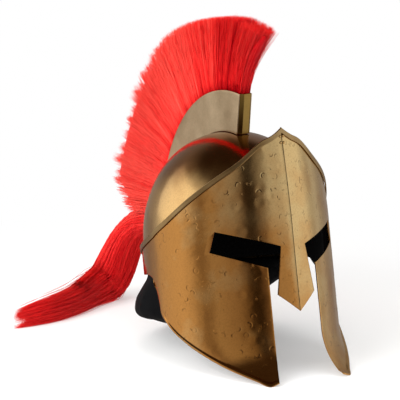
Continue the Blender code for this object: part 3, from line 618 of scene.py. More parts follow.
def makeBrowBand():
    # a section of a rounded strip with a raised upper lip, carried round the rim in even turns
    turn = np.linspace(-180, 180, band["stations"] + 1)[:-1]
    a = np.linspace(0, 2 * math.pi, band["corners"], endpoint=False)
    across = np.sign(np.cos(a)) * np.abs(np.cos(a)) ** 0.45
    through = np.sign(np.sin(a)) * np.abs(np.sin(a)) ** 0.6
    drop = -band["width"] / 2 + (band["width"] / 2 + helmet["gap"] / 2) * across
    proud = helmet["gap"] + band["thickness"] / 2 * (1 + through)
    lip = band["lip"] * np.exp(-((across - 0.75) / 0.2) ** 2) * (through > 0)
    points = platePoint(turn[:, None], rimHeight(turn)[:, None] + drop[None, :], (proud + lip)[None, :])
    rows, columns = points.shape[:2]
    quads = gridFaces(rows + 1, columns, True) % (rows * columns)
    obj = makePiece("browBand", toWorld(points.reshape(-1, 3)), [quads], bandBrass)
    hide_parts("brow_band")


makeBrowBand()


# the skull bowl and its lining

bowl = {
    "base": 160.0, "rise": 132.5, "power": 2.08, "setback": 6.0,
    "frontEdge": 192.0, "backEdge": 137.0, "earEdge": 124.0, "overPad": 139.3,
    "browTurn": 100.0, "browSpan": 55.0,         # degrees where the edge starts to rise, and over how many
    "padTurn": 88.0, "padSpan": 10.0, "templeTurn": 66.0, "templeSpan": 18.0,
    "crownShadeFrom": 218.0, "crownShadeSpan": 55.0,       # mm, where the brass starts to turn brown and darker towards the crown: painted shade
    "lining": 5.0, "liningEdges": 1.5,
}


def bowlEdge(turn):
    # level behind, and an S-shaped rise from the temples to the brow
    share = easeIn((bowl["browTurn"] - np.abs(turn)) / bowl["browSpan"])
    return bowl["backEdge"] + (bowl["frontEdge"] - bowl["backEdge"]) * share


def liningEdge(turn):
    # lowest beside the ears, a little higher over the pad behind, and up to the brow in front
    low, turn = bowl["earEdge"], np.abs(turn)
    return (low + (bowl["overPad"] - low) * easeIn((turn - bowl["padTurn"]) / bowl["padSpan"])
            + (bowl["frontEdge"] - low) * easeIn((bowl["templeTurn"] - turn) / bowl["templeSpan"]))


def bowlPoint(turn, share, inset, edgeLine):
    # share 0 is the lower edge, whose height the edge line gives, and 1 the crown of a squashed dome
    turn, share = np.broadcast_arrays(turn, share)
    edge = edgeLine(turn)
    rise = bowl["rise"] - inset
    over = np.clip((edge - bowl["base"]) / rise, 0, 1)
    low = np.where(edge > bowl["base"], np.arcsin(over ** (bowl["power"] / 2)), (edge - bowl["base"]) / rise)
    lift = low + (math.pi / 2 - low) * share
    up = np.clip(lift, 0, math.pi / 2)
    ring = np.where(share < 1, np.abs(np.cos(up)) ** (2 / bowl["power"]), 0.0)
    height = np.where(lift > 0, rise * np.sin(up) ** (2 / bowl["power"]), lift * rise)
    power = helmet["frontPower"] + (2 - helmet["frontPower"]) * np.sin(up) ** 2
    x, y, _, _ = planPoint(np.radians(turn), inset, power)
    return np.stack([x * ring, y * ring + bowl["setback"] * np.sin(up) ** 2, bowl["base"] + height], -1)


def makeBowl(name, node, inset, thickness, edgeLine, material, columns, rows):
    # the dome as a grid of turns and shares, going browner and darker towards the crown: painted shade
    turn = np.linspace(-180, 180, columns + 1)[:-1]
    share = np.linspace(0, 1, rows) ** 0.9
    points = bowlPoint(turn[None, :], share[:, None], inset, edgeLine)
    quads = gridFaces(rows, columns, True)
    # painted shade: browner and darker towards the crown
    brown = easeIn((points[..., 2] - bowl["crownShadeFrom"]) / bowl["crownShadeSpan"]).ravel()
    obj = makePiece(name, toWorld(points.reshape(-1, 3)), [quads], material, values={"paintedWarmth": brown})
    thicken(obj, thickness)
    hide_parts(node)
    return obj


bowlInset = helmet["sheet"] + helmet["shellGap"]
liningInset = bowlInset + helmet["sheet"] + helmet["shellGap"]
makeBowl("skullBowl", "skull_bowl", bowlInset, helmet["sheet"], bowlEdge, bowlBrass, 200, 64)
lining = makeBowl("skullLining", "skull_liner", liningInset, bowl["lining"], liningEdge,
                  liningFelt, 180, 40)
roundEdges(lining, bowl["liningEdges"], 3)
print("helmet: bowl and lining")


# the crest box

crest = {
    "radius": 175.0, "centreForward": -2.7, "centreHeight": 163.0, "width": 17.0,
    "start": 71.4, "end": 178.0, "stations": 150, "rows": 16,
    "fold": 1.9, "foldRows": 40, "foldColumns": 29,      # the front strip's
    "sideEdges": 0.3, "stripEdges": 0.25,
}


def crestPoint(angle, radius, x):
    # polar coordinates in the crest's plane, angles from straight forward
    angle, radius, x = np.broadcast_arrays(np.radians(angle), radius, x)
    y = -crest["centreForward"] - radius * np.cos(angle)
    return np.stack([x + 0.0, y, crest["centreHeight"] + radius * np.sin(angle)], -1)


def bowlOutline(angle):
    # distance from the arc's centre to the bowl's outer face in the middle plane
    share = np.linspace(1, 0, 400)[1:]
    line = np.concatenate([bowlPoint(0.0, share[::-1], bowlInset, bowlEdge),
                           bowlPoint(180.0, share, bowlInset, bowlEdge)])
    forward = -line[:, 1] - crest["centreForward"]
    up = line[:, 2] - crest["centreHeight"]
    found = np.degrees(np.arctan2(up, forward))
    order = np.argsort(found)
    return np.interp(angle, found[order], np.hypot(forward, up)[order])


def makeCrestBox():
    # crescents between the bowl's outline and the crest's arc, and a lightly folded strip in front
    stations = np.linspace(crest["start"], crest["end"], crest["stations"])
    foot = bowlOutline(stations) + helmet["gap"]
    for hand, label in ((-1, "right"), (1, "left")):
        share = np.linspace(0, 1, crest["rows"])[:, None]
        radius = foot[None, :] + share * (crest["radius"] - foot[None, :])
        points = crestPoint(stations[None, :], radius, hand * crest["width"] / 2)
        quads = gridFaces(crest["rows"], crest["stations"])
        obj = makePiece(label + "CrestSide", toWorld(points.reshape(-1, 3)),
                        [quads[:, ::-1] if hand < 0 else quads], crestBrass)
        thicken(obj, helmet["sheet"])
        roundEdges(obj, crest["sideEdges"])
        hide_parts("crest_side_" + label)
    half = crest["width"] / 2 - helmet["sheet"] - helmet["gap"]
    x = np.linspace(-half, half, crest["foldColumns"])
    radius = np.linspace(foot[0] + helmet["gap"], crest["radius"], crest["foldRows"])
    points = crestPoint(crest["start"], radius[:, None], x[None, :])
    ahead = crestPoint(crest["start"] - 90.0, 1.0, 0.0) - crestPoint(crest["start"], 0.0, 0.0)
    fold = crest["fold"] * np.minimum((x / half + 1) / 0.65, (1 - x / half) / 1.35)
    points = points + fold[None, :, None] * ahead
    quads = gridFaces(crest["foldRows"], crest["foldColumns"])
    obj = makePiece("crestFront", toWorld(points.reshape(-1, 3)), [quads], stripBrass)
    thicken(obj, helmet["sheet"])
    roundEdges(obj, crest["stripEdges"])
    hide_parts("crest_front")


makeCrestBox()

for nodeName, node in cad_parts.items():
    if "rivet" in nodeName:
        node.data.materials.clear()
        node.data.materials.append(bowlBrass)
print("helmet: crest box and rivets")


# hair: strands are thin three-sided tapering tubes along curves worked out all at once

def strandMesh(name, curves, thickness, tone):
    # curves is (strand, step, xyz) in millimetres on the table; each ring is a triangle across the curve, and
    # the last step is a point. Nothing is welded, because each strand is a mesh of its own
    count, steps = curves.shape[:2]
    way = np.gradient(curves, axis=1)
    way /= np.linalg.norm(way, axis=2, keepdims=True) + 1e-9
    helper = np.where(np.abs(way[..., :1]) > 0.8, (0.0, 1.0, 0.0), (1.0, 0.0, 0.0))
    side = np.cross(way, helper)
    side /= np.linalg.norm(side, axis=2, keepdims=True) + 1e-9
    above = np.cross(side, way)
    angle = np.array([0.0, 2.0, 4.0]) * math.pi / 3
    taper = 1 - 0.45 * np.linspace(0, 1, steps - 1) ** 2
    radius = thickness[:, None] / 2 * taper[None, :]
    rings = (curves[:, :-1, None] + radius[..., None, None]
             * (side[:, :-1, None] * np.cos(angle)[:, None] + above[:, :-1, None] * np.sin(angle)[:, None]))
    rings = rings.reshape(count, (steps - 1) * 3, 3)
    points = np.concatenate([rings, curves[:, -1:]], 1)
    each = points.shape[1]
    r = np.arange(steps - 2)[:, None] * 3
    c = np.arange(3)[None, :]
    d = (c + 1) % 3
    quads = np.stack(np.broadcast_arrays(r + c, r + d, r + 3 + d, r + 3 + c), -1).reshape(-1, 4)[:, ::-1]
    last = (steps - 2) * 3
    tips = np.array([
        (last + 1, last, each - 1), (last + 2, last + 1, each - 1), (last, last + 2, each - 1), (0, 1, 2)])
    offset = np.arange(count)[:, None, None] * each
    values = np.broadcast_to(tone[:, None, :], (count, 3, steps)).transpose(0, 2, 1)[:, :-1]
    values = np.concatenate([values.reshape(count, -1), tone[:, -1:]], 1)
    world = points.reshape(-1, 3) * mm
    world[:, 2] = np.maximum(world[:, 2], 0.1 * mm)
    faces = [(quads[None] + offset).reshape(-1, 4), (tips[None] + offset).reshape(-1, 3)]
    placeMesh(fillMesh(name, world, faces), dyedFibre, {"tone": values.reshape(-1)})


def makeStrands(name, style, curves, thickness, tone, rng):
    # the strands shared out at random over a few meshes, so that each stays a light one
    order = rng.permutation(style["strands"])
    for i in range(style["pieces"]):
        pick = order[i::style["pieces"]]
        strandMesh(name + "ABC"[i], curves[pick], thickness[pick], tone[pick])


plume = {
    "length": 95.0, "spread": 30.0, "end": 168.0, "locks": 33,
    "clear": 1.0,                # mm between the hair and the side plates
    "rootDepth": 6.0,            # mm from the arc down to the roots
    "crowding": 0.75,            # under 1, more strands stand near the two faces
    "straight": 0.42,            # share of a strand that keeps to the crest's radius
    "lockSizes": (0.4, 1.6),
    "raggedFrom": 112.0, "raggedSpan": 30.0,     # degrees where the locks start to end unevenly, over how many
    "gather": (0.3, 0.55), "tipSpread": 0.30,    # how far tips gather in front and more behind; degrees astray
    "leaning": 0.7, "strayLeaning": 5.0,         # degrees
    "trim": 0.97, "strays": 0.012, "underFrom": 0.88, "underCut": 0.3,
    "lockStep": 0.07, "lockPoint": 0.14, "endSpread": 0.02,      # uneven ends, as shares of the length
    "dropFrom": 134.0, "dropSpan": 14.0, "drop": 0.055,
    "toneFrom": 76.0, "toneSpan": 36.0, "tone": (0.47, 0.42), "lockTone": (0.07, 0.09), "toneSpread": 0.11,
    "tipTone": 0.14, "paintedRootShade": 0.25,
    "strands": 13500, "pieces": 3, "steps": 7, "thickness": (0.45, 0.75), "seed": 11,
    # the body under the strands: its width, length and flare as shares, and how it rounds off upwards
    "coreWidth": 0.72, "coreLength": 0.88, "coreFlare": 0.88, "coreStations": 180,
    "coreShares": np.array([0.0, 0.12, 0.3, 0.5, 0.7, 0.85, 1.0]),
    "coreTaper": np.array([1, 1, 1, 1, 0.95, 0.8, 0.25]),
    # angle of the root on the arc, angle in which it stands, share of the length, share of the sweep
    "fan": np.array([
        (71.4, 43.0, 0.98, 0.00), (76.0, 47.0, 1.00, 0.00), (82.0, 55.0, 1.00, 0.00), (88.0, 66.0, 0.97, 0.00),
        (95.0, 80.0, 0.95, 0.00), (105.0, 97.0, 1.00, 0.00), (115.0, 112.0, 1.09, 0.00),
        (125.0, 124.0, 1.16, 0.05), (135.0, 135.0, 1.21, 0.15), (145.0, 146.0, 1.22, 0.30),
        (155.0, 157.0, 1.23, 0.45), (161.0, 162.0, 1.20, 0.52), (165.0, 166.5, 0.90, 0.56),
        (168.0, 170.0, 0.68, 0.60)]),
}


def plumeCurve(root, x, tipX, length, stand, shares):
    # a quadratic arc: it starts along the crest's radius and ends in the direction in which the hair stands
    base = crestPoint(root, crest["radius"] - plume["rootDepth"], x)
    straightUp = crestPoint(root, 1.0, 0.0) - crestPoint(root, 0.0, 0.0)
    leaning = crestPoint(stand, 1.0, 0.0) - crestPoint(stand, 0.0, 0.0)
    t = shares[None, :, None]
    first = base + straightUp * (plume["straight"] * length)[:, None]
    last = crestPoint(root, crest["radius"], x) + leaning * length[:, None]
    last[:, 0] = tipX
    return (1 - t) ** 2 * base[:, None] + 2 * t * (1 - t) * first[:, None] + t**2 * last[:, None]


def makePlume():
    # strands along plumeCurve from roots all over the box, gathered into locks by the place of their tips
    rng = np.random.default_rng(plume["seed"])
    count = plume["strands"]
    shares = np.append(np.linspace(0, 0.965, plume["steps"] - 1) ** 0.9, 1.0)     # cut ends taper late
    inner = crest["width"] / 2 - helmet["sheet"] - plume["clear"]
    firstRoot, lastRoot = crest["start"] + 0.6, plume["end"] + 0.5
    root = firstRoot + (lastRoot - firstRoot) * rng.uniform(0, 1, count)
    # most strands stand near the two faces, where they are seen
    u = rng.uniform(-1, 1, count)
    x = inner * np.sign(u) * np.abs(u) ** plume["crowding"]
    # locks of uneven sizes: tips gather towards the middle of their lock, most where the hair is long behind
    cuts = np.cumsum(rng.uniform(*plume["lockSizes"], plume["locks"]))
    cuts = np.concatenate([[0.0], cuts / cuts[-1]]) * (lastRoot - firstRoot) + firstRoot
    lock = np.clip(np.searchsorted(cuts, root + 0.5 * np.sin(x)) - 1, 0, len(cuts) - 2)
    middle, lockSize = (cuts[lock] + cuts[lock + 1]) / 2, cuts[lock + 1] - cuts[lock]
    lockTone = rng.uniform(-1, 1, len(cuts))[lock]
    ragged = easeIn((root - plume["raggedFrom"]) / plume["raggedSpan"])
    gather = rng.uniform(0.0, plume["gather"][0], count) + plume["gather"][1] * ragged
    tipRoot = root + (middle - root) * gather + rng.normal(0, plume["tipSpread"], count)
    stray = rng.uniform(0, 1, count) < plume["strays"]
    stand = smoothColumn(plume["fan"], tipRoot, 1) + rng.normal(0, plume["leaning"], count)
    stand = stand + stray * rng.normal(0, plume["strayLeaning"], count)
    # the top is trimmed to one line, with shorter strands under it; behind, the locks end at their own lengths
    short = rng.uniform(0, 1, count)
    reach = 1.0 - 0.025 * short**2
    reach = reach - plume["underCut"] * (short > plume["underFrom"]) * rng.uniform(0, 1, count)
    fromMiddle = np.abs(root - middle) / lockSize
    uneven = plume["endSpread"] * (rng.normal(0, 1, count) - 1) - 0.10 * short**2
    reach += ragged * (plume["lockStep"] * lockTone - plume["lockPoint"] * fromMiddle + uneven)
    reach -= plume["drop"] * easeIn((root - plume["dropFrom"]) / plume["dropSpan"])
    length = plume["trim"] * plume["length"] * smoothColumn(plume["fan"], root, 2) * np.minimum(reach, 1.07)
    sweep = -plume["spread"] * smoothColumn(plume["fan"], root, 3)
    bell = x / inner * plume["spread"] / 2 * (0.93 + 0.08 * rng.normal(0, 1, count))
    curves = plumeCurve(root, x, sweep + bell, length, stand, shares)
    wander = rng.normal(0, 0.5, (count, 1))
    curves[..., 0] += wander * np.sin(np.pi * shares * rng.uniform(0.8, 2.2, (count, 1)))
    thickness = rng.uniform(*plume["thickness"], count)
    # tone: crimson in front, coral behind, partly the dye and partly painted light where the light falls
    # strongest; darker where it leaves the box, painted shade; and from lock to lock
    behind = easeIn((root - plume["toneFrom"]) / plume["toneSpan"])
    tone = plume["tone"][0] + plume["tone"][1] * behind
    tone += (plume["lockTone"][0] + plume["lockTone"][1] * (1 - behind)) * lockTone
    tone = (tone + rng.normal(0, plume["toneSpread"], count))[:, None]
    tone = tone + plume["tipTone"] * (shares[None, :] - 0.5)
    # painted shade at the roots, where the hair leaves the box
    tone = np.clip(tone - plume["paintedRootShade"] * np.exp(-shares[None, :] / 0.08), 0.03, 1.0)
    makeStrands("plumeStrands", plume, onTable(curves), thickness, tone, rng)
    makePlumeCore(inner)
    print("helmet: plume,", count, "strands")


def makePlumeCore(inner):
    # the body under the strands: the same arcs, narrower and shorter, from the box's floor
    angles = np.linspace(crest["start"] + 0.8, plume["end"], plume["coreStations"])
    shares = plume["coreShares"]
    length = plume["coreLength"] * plume["length"] * smoothColumn(plume["fan"], angles, 2)
    stand = smoothColumn(plume["fan"], angles, 1)
    sweep = -plume["spread"] * smoothColumn(plume["fan"], angles, 3)
    middle = plumeCurve(angles, np.zeros(len(angles)), sweep, length, stand, shares)
    flare = (plume["spread"] / 2 - inner) * (plume["coreFlare"] * shares) ** 2
    half = plume["coreWidth"] * (inner + flare) * plume["coreTaper"]
    floor = crestPoint(angles, bowlOutline(angles) + 2 * helmet["gap"], 0.0)[:, None]
    line = np.concatenate([floor, middle], 1)
    halves = np.concatenate([[inner], half])
    right, left = line.copy(), line.copy()
    right[..., 0] -= halves
    left[..., 0] += halves
    ring = np.concatenate([right, left[:, ::-1]], 1)
    rows, columns = ring.shape[:2]
    quads = gridFaces(rows, columns, True)[:, ::-1]
    pairs = np.arange(columns // 2 - 1)
    rungs = np.stack([pairs, pairs + 1, columns - 2 - pairs, columns - 1 - pairs], -1)
    caps = np.concatenate([rungs, rungs[:, ::-1] + (rows - 1) * columns])
    # darker than the strands over it: painted shade inside the hair, and lighter behind as the strands are
    tone = np.repeat(0.30 + 0.40 * easeIn((angles - 78) / 38), columns)
    obj = makePiece("plumeCore", toWorld(ring.reshape(-1, 3)), [np.concatenate([quads, caps])],
                    dyedFibre, values={"tone": tone})
    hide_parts("crest_plume")


makePlume()

tail = {
    "rootAngle": 173.6, "width": 44.0, "depth": 38.0, "run": 205.0, "reach": 90.0, "climb": 19.0,
    "lead": 0.80,                # share of the crest's radius at which the hair starts inside the box
    "locks": 30, "lockSpread": 0.15, "lockReach": (0.55, 0.98), "lockEnd": (0.88, 1.0),
    "strandSpread": 0.30, "reachSpread": 0.14, "endSpread": 0.018,
    "earlyShare": 0.10, "earlyEnd": (0.55, 0.95), "begin": 0.06,
    "twist": 0.5, "wander": 0.16, "strays": 0.02, "strayReach": (0.2, 0.8), "wobble": 0.22,
    "joined": 0.34,              # share of the length by which the upper strands have joined the rest
    "rest": 3.0,                 # mm from the table below which the strands pile up
    "tone": 0.62, "lockTone": 0.08, "toneSpread": 0.09, "paintedRootLight": 0.22, "rootSpan": 0.42, "paintedTopLight": 0.06,
    "strands": 3900, "pieces": 3, "steps": 19, "thickness": (0.55, 0.9), "seed": 5,
    "stations": 240, "fine": 160, "even": 300, "leadStations": 19,
    "coreWidth": 0.72, "coreStations": 90, "coreColumns": 28, "coreEnd": 0.95, "paintedCoreShade": 0.50,
    # how far back, to the right and how high as shares, then width and depth as shares
    "route": np.array([
        (0.00, 0.000, 1.000, 0.27, 0.60), (0.33, 0.020, 1.000, 0.50, 0.70), (0.60, 0.045, 0.970, 0.68, 0.82),
        (0.80, 0.070, 0.850, 0.84, 1.00), (0.92, 0.105, 0.670, 0.98, 1.12), (1.00, 0.140, 0.450, 1.15, 1.20),
        (1.02, 0.185, 0.280, 1.30, 1.12), (0.99, 0.260, 0.175, 1.36, 1.00), (0.87, 0.360, 0.130, 1.30, 0.84),
        (0.58, 0.520, 0.084, 1.22, 0.68), (0.34, 0.700, 0.062, 1.15, 0.54), (0.23, 0.840, 0.044, 1.08, 0.42),
        (0.16, 0.990, 0.028, 0.88, 0.28)]),
}


def alongLine(stations, share, line):
    # points of a line, read at any stations between its own
    return np.stack([np.interp(stations, share, line[:, i]) for i in range(3)], -1)


def tailFrame(stations):
    # the tail's middle line on the table, its side and upright directions, and its half width and depth; the
    # side direction starts along x and is carried along without twist
    root = onTable(crestPoint(tail["rootAngle"], crest["radius"], 0.0))
    inside = onTable(crestPoint(tail["rootAngle"], tail["lead"] * crest["radius"], 0.0))
    table = np.concatenate([np.linspace(0, 1, len(tail["route"]))[:, None], tail["route"]], 1)
    fine = np.linspace(0, 1, tail["fine"])
    back, right, high, wide, deep = (smoothColumn(table, fine, c) for c in range(1, 6))
    path = np.stack([root[0] - tail["run"] * right, root[1] + tail["reach"] * back, root[2] * high], -1)
    before = tail["leadStations"]
    lead = np.linspace(0, 1, before + 1)[:-1, None]
    path = np.concatenate([inside + lead * (root - inside), path])
    wide = np.concatenate([np.full(before, wide[0]), wide]) * tail["width"] / 2
    deep = np.concatenate([np.full(before, deep[0]), deep]) * tail["depth"] / 2
    run = np.concatenate([[0], np.cumsum(np.linalg.norm(np.diff(path, axis=0), axis=1))])
    share = np.linspace(0, 1, tail["even"])
    path = alongLine(share * run[-1], run, path)
    way = np.gradient(path, axis=0)
    way /= np.linalg.norm(way, axis=1)[:, None]
    side = np.empty_like(way)
    carried = np.array([1.0, 0.0, 0.0])
    for i in range(len(way)):
        carried = carried - (carried @ way[i]) * way[i]
        carried /= np.linalg.norm(carried)
        side[i] = carried
    above = np.cross(way, side)
    above *= np.sign(above[-1, 2])
    wide, deep = np.interp(stations * run[-1], run, wide), np.interp(stations * run[-1], run, deep)
    path, side, above = (alongLine(stations, share, line) for line in (path, side, above))
    return path, side, above, wide, deep, run[-1]


def makeTail():
    # each strand keeps its own place in the tail's elliptical section, which follows the middle line
    rng = np.random.default_rng(tail["seed"])
    stations = np.linspace(0, 1, tail["stations"])
    path, level, above, wide, deep, total = tailFrame(stations)
    count, steps = tail["strands"], tail["steps"]
    # locks share a place in the section and an end
    locks = tail["locks"]
    lock = rng.integers(0, locks, count)
    lockAngle = np.linspace(0, 2 * np.pi, locks, endpoint=False) + rng.normal(0, tail["lockSpread"], locks)
    lockReach = rng.uniform(*tail["lockReach"], locks)
    lockEnd = rng.uniform(*tail["lockEnd"], locks)
    lockTone = rng.uniform(-1, 1, locks)
    angle = lockAngle[lock] + rng.normal(0, tail["strandSpread"], count)
    reach = np.clip(lockReach[lock] + rng.normal(0, tail["reachSpread"], count), 0.05, 1.08)
    end = np.clip(lockEnd[lock] + rng.normal(0, tail["endSpread"], count), 0.6, 1.0)
    early = rng.uniform(0, 1, count) < tail["earlyShare"]
    end[early] *= rng.uniform(*tail["earlyEnd"], early.sum())
    begin = rng.uniform(0.0, tail["begin"], count)
    s = begin[:, None] + (end - begin)[:, None] * np.linspace(0, 1, steps)[None, :]
    # the locks wander a little around their place
    wander = np.sin(2 * np.pi * (1.1 * s + lock[:, None] / locks))
    turn = angle[:, None] + tail["twist"] * s + tail["wander"] * wander
    a, b = reach[:, None] * np.cos(turn), reach[:, None] * np.sin(turn)
    stray = (rng.uniform(0, 1, count) < tail["strays"])[:, None] * easeIn((s - 0.3) / 0.4)
    stray = stray * rng.uniform(*tail["strayReach"], (count, 1))
    a, b = a * (1 + stray), b * (1 + stray)
    w, d = np.interp(s, stations, wide), np.interp(s, stations, deep)
    middle, sideways, upwards = (alongLine(s, stations, line) for line in (path, level, above))
    curves = middle + sideways * (a * w)[..., None] + upwards * (b * d)[..., None]
    curves += rng.normal(0, tail["wobble"], (count, steps, 3)) * easeIn((s - 0.15) / 0.2)[..., None]
    # the upper strands come out of the box higher up, where the plume ends, and join the rest as they fall
    high = np.clip(upwards[:, :1, 2] * b[:, :1], 0, None)
    curves[..., 2] += tail["climb"] * high * (1 - easeIn(s / tail["joined"]))
    # on the table the strands lie on each other and none goes under it
    height, rest = curves[..., 2], tail["rest"]
    curves[..., 2] = np.where(height < rest, rest * np.exp((height - rest) / (2 * rest)), height)
    thickness = rng.uniform(*tail["thickness"], count)
    # tone: lighter where the tail leaves the plume and on its upper side: painted light
    tone = tail["tone"] + tail["lockTone"] * lockTone[lock][:, None]
    tone = tone + rng.normal(0, tail["toneSpread"], (count, 1))
    tone = tone + tail["paintedRootLight"] * (1 - easeIn(s / tail["rootSpan"]))
    # painted light on the tail's upper side
    tone = np.clip(tone + tail["paintedTopLight"] * b, 0.05, 1.0)
    makeStrands("tailStrands", tail, curves, thickness, tone, rng)
    makeTailCore()
    print("helmet: tail,", count, "strands,", round(total), "mm long")


def makeTailCore():
    # the body under the strands: a slimmer ellipse along the same line, rounded off before its end
    around = np.linspace(0, 2 * np.pi, tail["coreColumns"], endpoint=False)
    stops = np.linspace(0, tail["coreEnd"], tail["coreStations"])
    pathC, levelC, aboveC, wideC, deepC, _ = tailFrame(stops)
    slim = tail["coreWidth"] * np.sqrt(np.clip(1 - (stops / (tail["coreEnd"] + 0.005)) ** 8, 0.0, 1))
    rings = (pathC[:, None] + levelC[:, None] * (slim[:, None] * wideC[:, None] * np.cos(around))[..., None]
             + aboveC[:, None] * (slim[:, None] * deepC[:, None] * np.sin(around))[..., None])
    rings[..., 2] = np.maximum(rings[..., 2], 0.5)
    rows, columns = rings.shape[:2]
    centre = np.stack([rings[0].mean(0), rings[-1].mean(0)])
    points = np.concatenate([rings.reshape(-1, 3), centre]) * mm
    c = np.arange(columns)
    d = (c + 1) % columns
    first = np.stack([c, d, np.full(columns, rows * columns)], -1)
    last = np.stack([(rows - 1) * columns + d, (rows - 1) * columns + c,
                     np.full(columns, rows * columns + 1)], -1)
    sides = gridFaces(rows, columns, True)[:, ::-1]
    # its tone, darker than the strands', is painted shade inside the tail
    obj = makePiece("tailCore", points, [sides, first, last], dyedFibre,
                    values={"tone": np.full(len(points), tail["paintedCoreShade"])})
    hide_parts("crest_tail")


makeTail()


# the padded roll under the nape

pad = {
    "voxel": 4.0, "pressure": 4.0, "frames": 20,
    "slim": 1.2, "cap": 2.5,                 # mm taken off before it swells, and the most that it swells
    "sewnOut": 0.8, "sewnBelow": 10.0, "sewnSpan": 9.0,  # the held edge: how far out, and where it begins
    "rest": 0.2,
}


def readPoints(mesh, key):
    # the points' places or normals as rows of three
    values = np.empty(len(mesh.vertices) * 3)
    mesh.vertices.foreach_get(key, values)
    return values.reshape(-1, 3)


def makePad():
    # the solid's shape, remeshed and swelled by cloth pressure, capped close to where it started
    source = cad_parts["neck_pad"]
    mesh = source.data.copy()
    obj = bpy.data.objects.new("neckPad", mesh)
    bpy.context.scene.collection.objects.link(obj)
    mesh.materials.clear()
    work = bmesh.new()
    work.from_mesh(mesh)
    bmesh.ops.remove_doubles(work, verts=work.verts, dist=1e-6)
    work.to_mesh(mesh)
    work.free()
    bpy.context.view_layer.objects.active = obj
    remesh = obj.modifiers.new("remesh", "REMESH")
    remesh.mode = "VOXEL"
    remesh.voxel_size = pad["voxel"] * mm
    bpy.ops.object.modifier_apply(modifier=remesh.name)
    start, normals = readPoints(obj.data, "co"), readPoints(obj.data, "normal")
    slim = start - pad["slim"] * mm * normals
    obj.data.vertices.foreach_set("co", slim.ravel())
    cloth = obj.modifiers.new("swell", "CLOTH")
    cloth.settings.use_pressure = True
    cloth.settings.uniform_pressure_force = pad["pressure"]
    cloth.settings.effector_weights.gravity = 0.0
    scene = bpy.context.scene
    for number in range(1, pad["frames"] + 1):
        scene.frame_set(number)
    graph = bpy.context.evaluated_depsgraph_get()
    swelled = readPoints(obj.evaluated_get(graph).data, "co")
    obj.modifiers.remove(cloth)
    scene.frame_set(1)
    move = swelled - slim
    far = np.linalg.norm(move, axis=1, keepdims=True)
    move *= np.minimum(1.0, pad["cap"] * mm / np.maximum(far, 1e-9))
    # the edge tucked up inside the plate is held where it was sewn
    root = start / mm - (place["x"], place["y"], place["z"])
    lean = math.radians(helmet["lean"])
    height = root[:, 1] * math.sin(lean) + root[:, 2] * math.cos(lean)
    held = easeIn((height - plate["nape"] + pad["sewnBelow"]) / pad["sewnSpan"])[:, None]
    sewn = start + pad["sewnOut"] * mm * normals
    final = (1 - held) * (slim + move) + held * sewn
    final[:, 2] = np.maximum(final[:, 2], pad["rest"] * mm)
    obj.data.vertices.foreach_set("co", final.ravel())
    obj.data.update()
    finer = obj.modifiers.new("finer", "SUBSURF")
    finer.levels = finer.render_levels = 1
    bpy.ops.object.modifier_apply(modifier=finer.name)
    obj.data.shade_smooth()
    obj.data.materials.append(padCloth)
    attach(obj, "root")
    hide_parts("neck_pad")
    print("helmet: pad,", len(obj.data.polygons), "faces")


makePad()


# floor, light and camera

studio = {
    "floor": "#f6f6f5",
    # reflected room by direction: degrees from the helmet's front, brightness there
    "room": [(-180, 0.33), (-165, 0.36), (-150, 0.60), (-138, 0.85), (-125, 0.95), (-107, 1.05), (-98, 0.80),
             (-89, 0.25), (-80, 0.58), (-66, 0.46), (-57, 0.38), (-51, 0.20), (-47, 0.04), (-37, 0.03),
             (-31, 0.20), (-24, 0.28), (-16, 0.62), (5, 0.65), (14, 0.78), (45, 0.92), (74, 0.95),
             (85, 0.65), (92, 0.50), (100, 0.62), (108, 0.42), (118, 0.34), (150, 0.33), (180, 0.33)],
    "ceiling": 0.06, "ceilingFrom": 0.52, "ceilingFull": 0.72,     # brightness, and sines of the height
    "table": 0.80, "corners": 96,
    "whiteFrom": 0.25, "whiteAt": 0.72, "whiteLow": 0.35,   # the table's glow: metres from the middle, least
    "lampAim": (0, 0, 0.18),
    # azimuth and elevation in degrees, distance and size in metres, watts, and whether the brass mirrors it
    "lamps": {
        "leftSoftbox": (-132, 19, 1.7, (1.5, 1.0), 2.6, True),
        "hairLight": (-75, 34, 1.8, (1.0, 1.0), 24, False),
        "frontLight": (-36, 12, 2.0, (1.2, 1.2), 28, False),
        "tableLight": (0, 88, 2.4, (3.2, 3.2), 66, False),
    },
    "aim": (-39.9, 7.05, 213.95),   # in the helmet's frame
    "azimuth": -27.7, "elevation": 10.97, "distance": 2.2, "lens": 172.0, "sensor": 36.0,
}


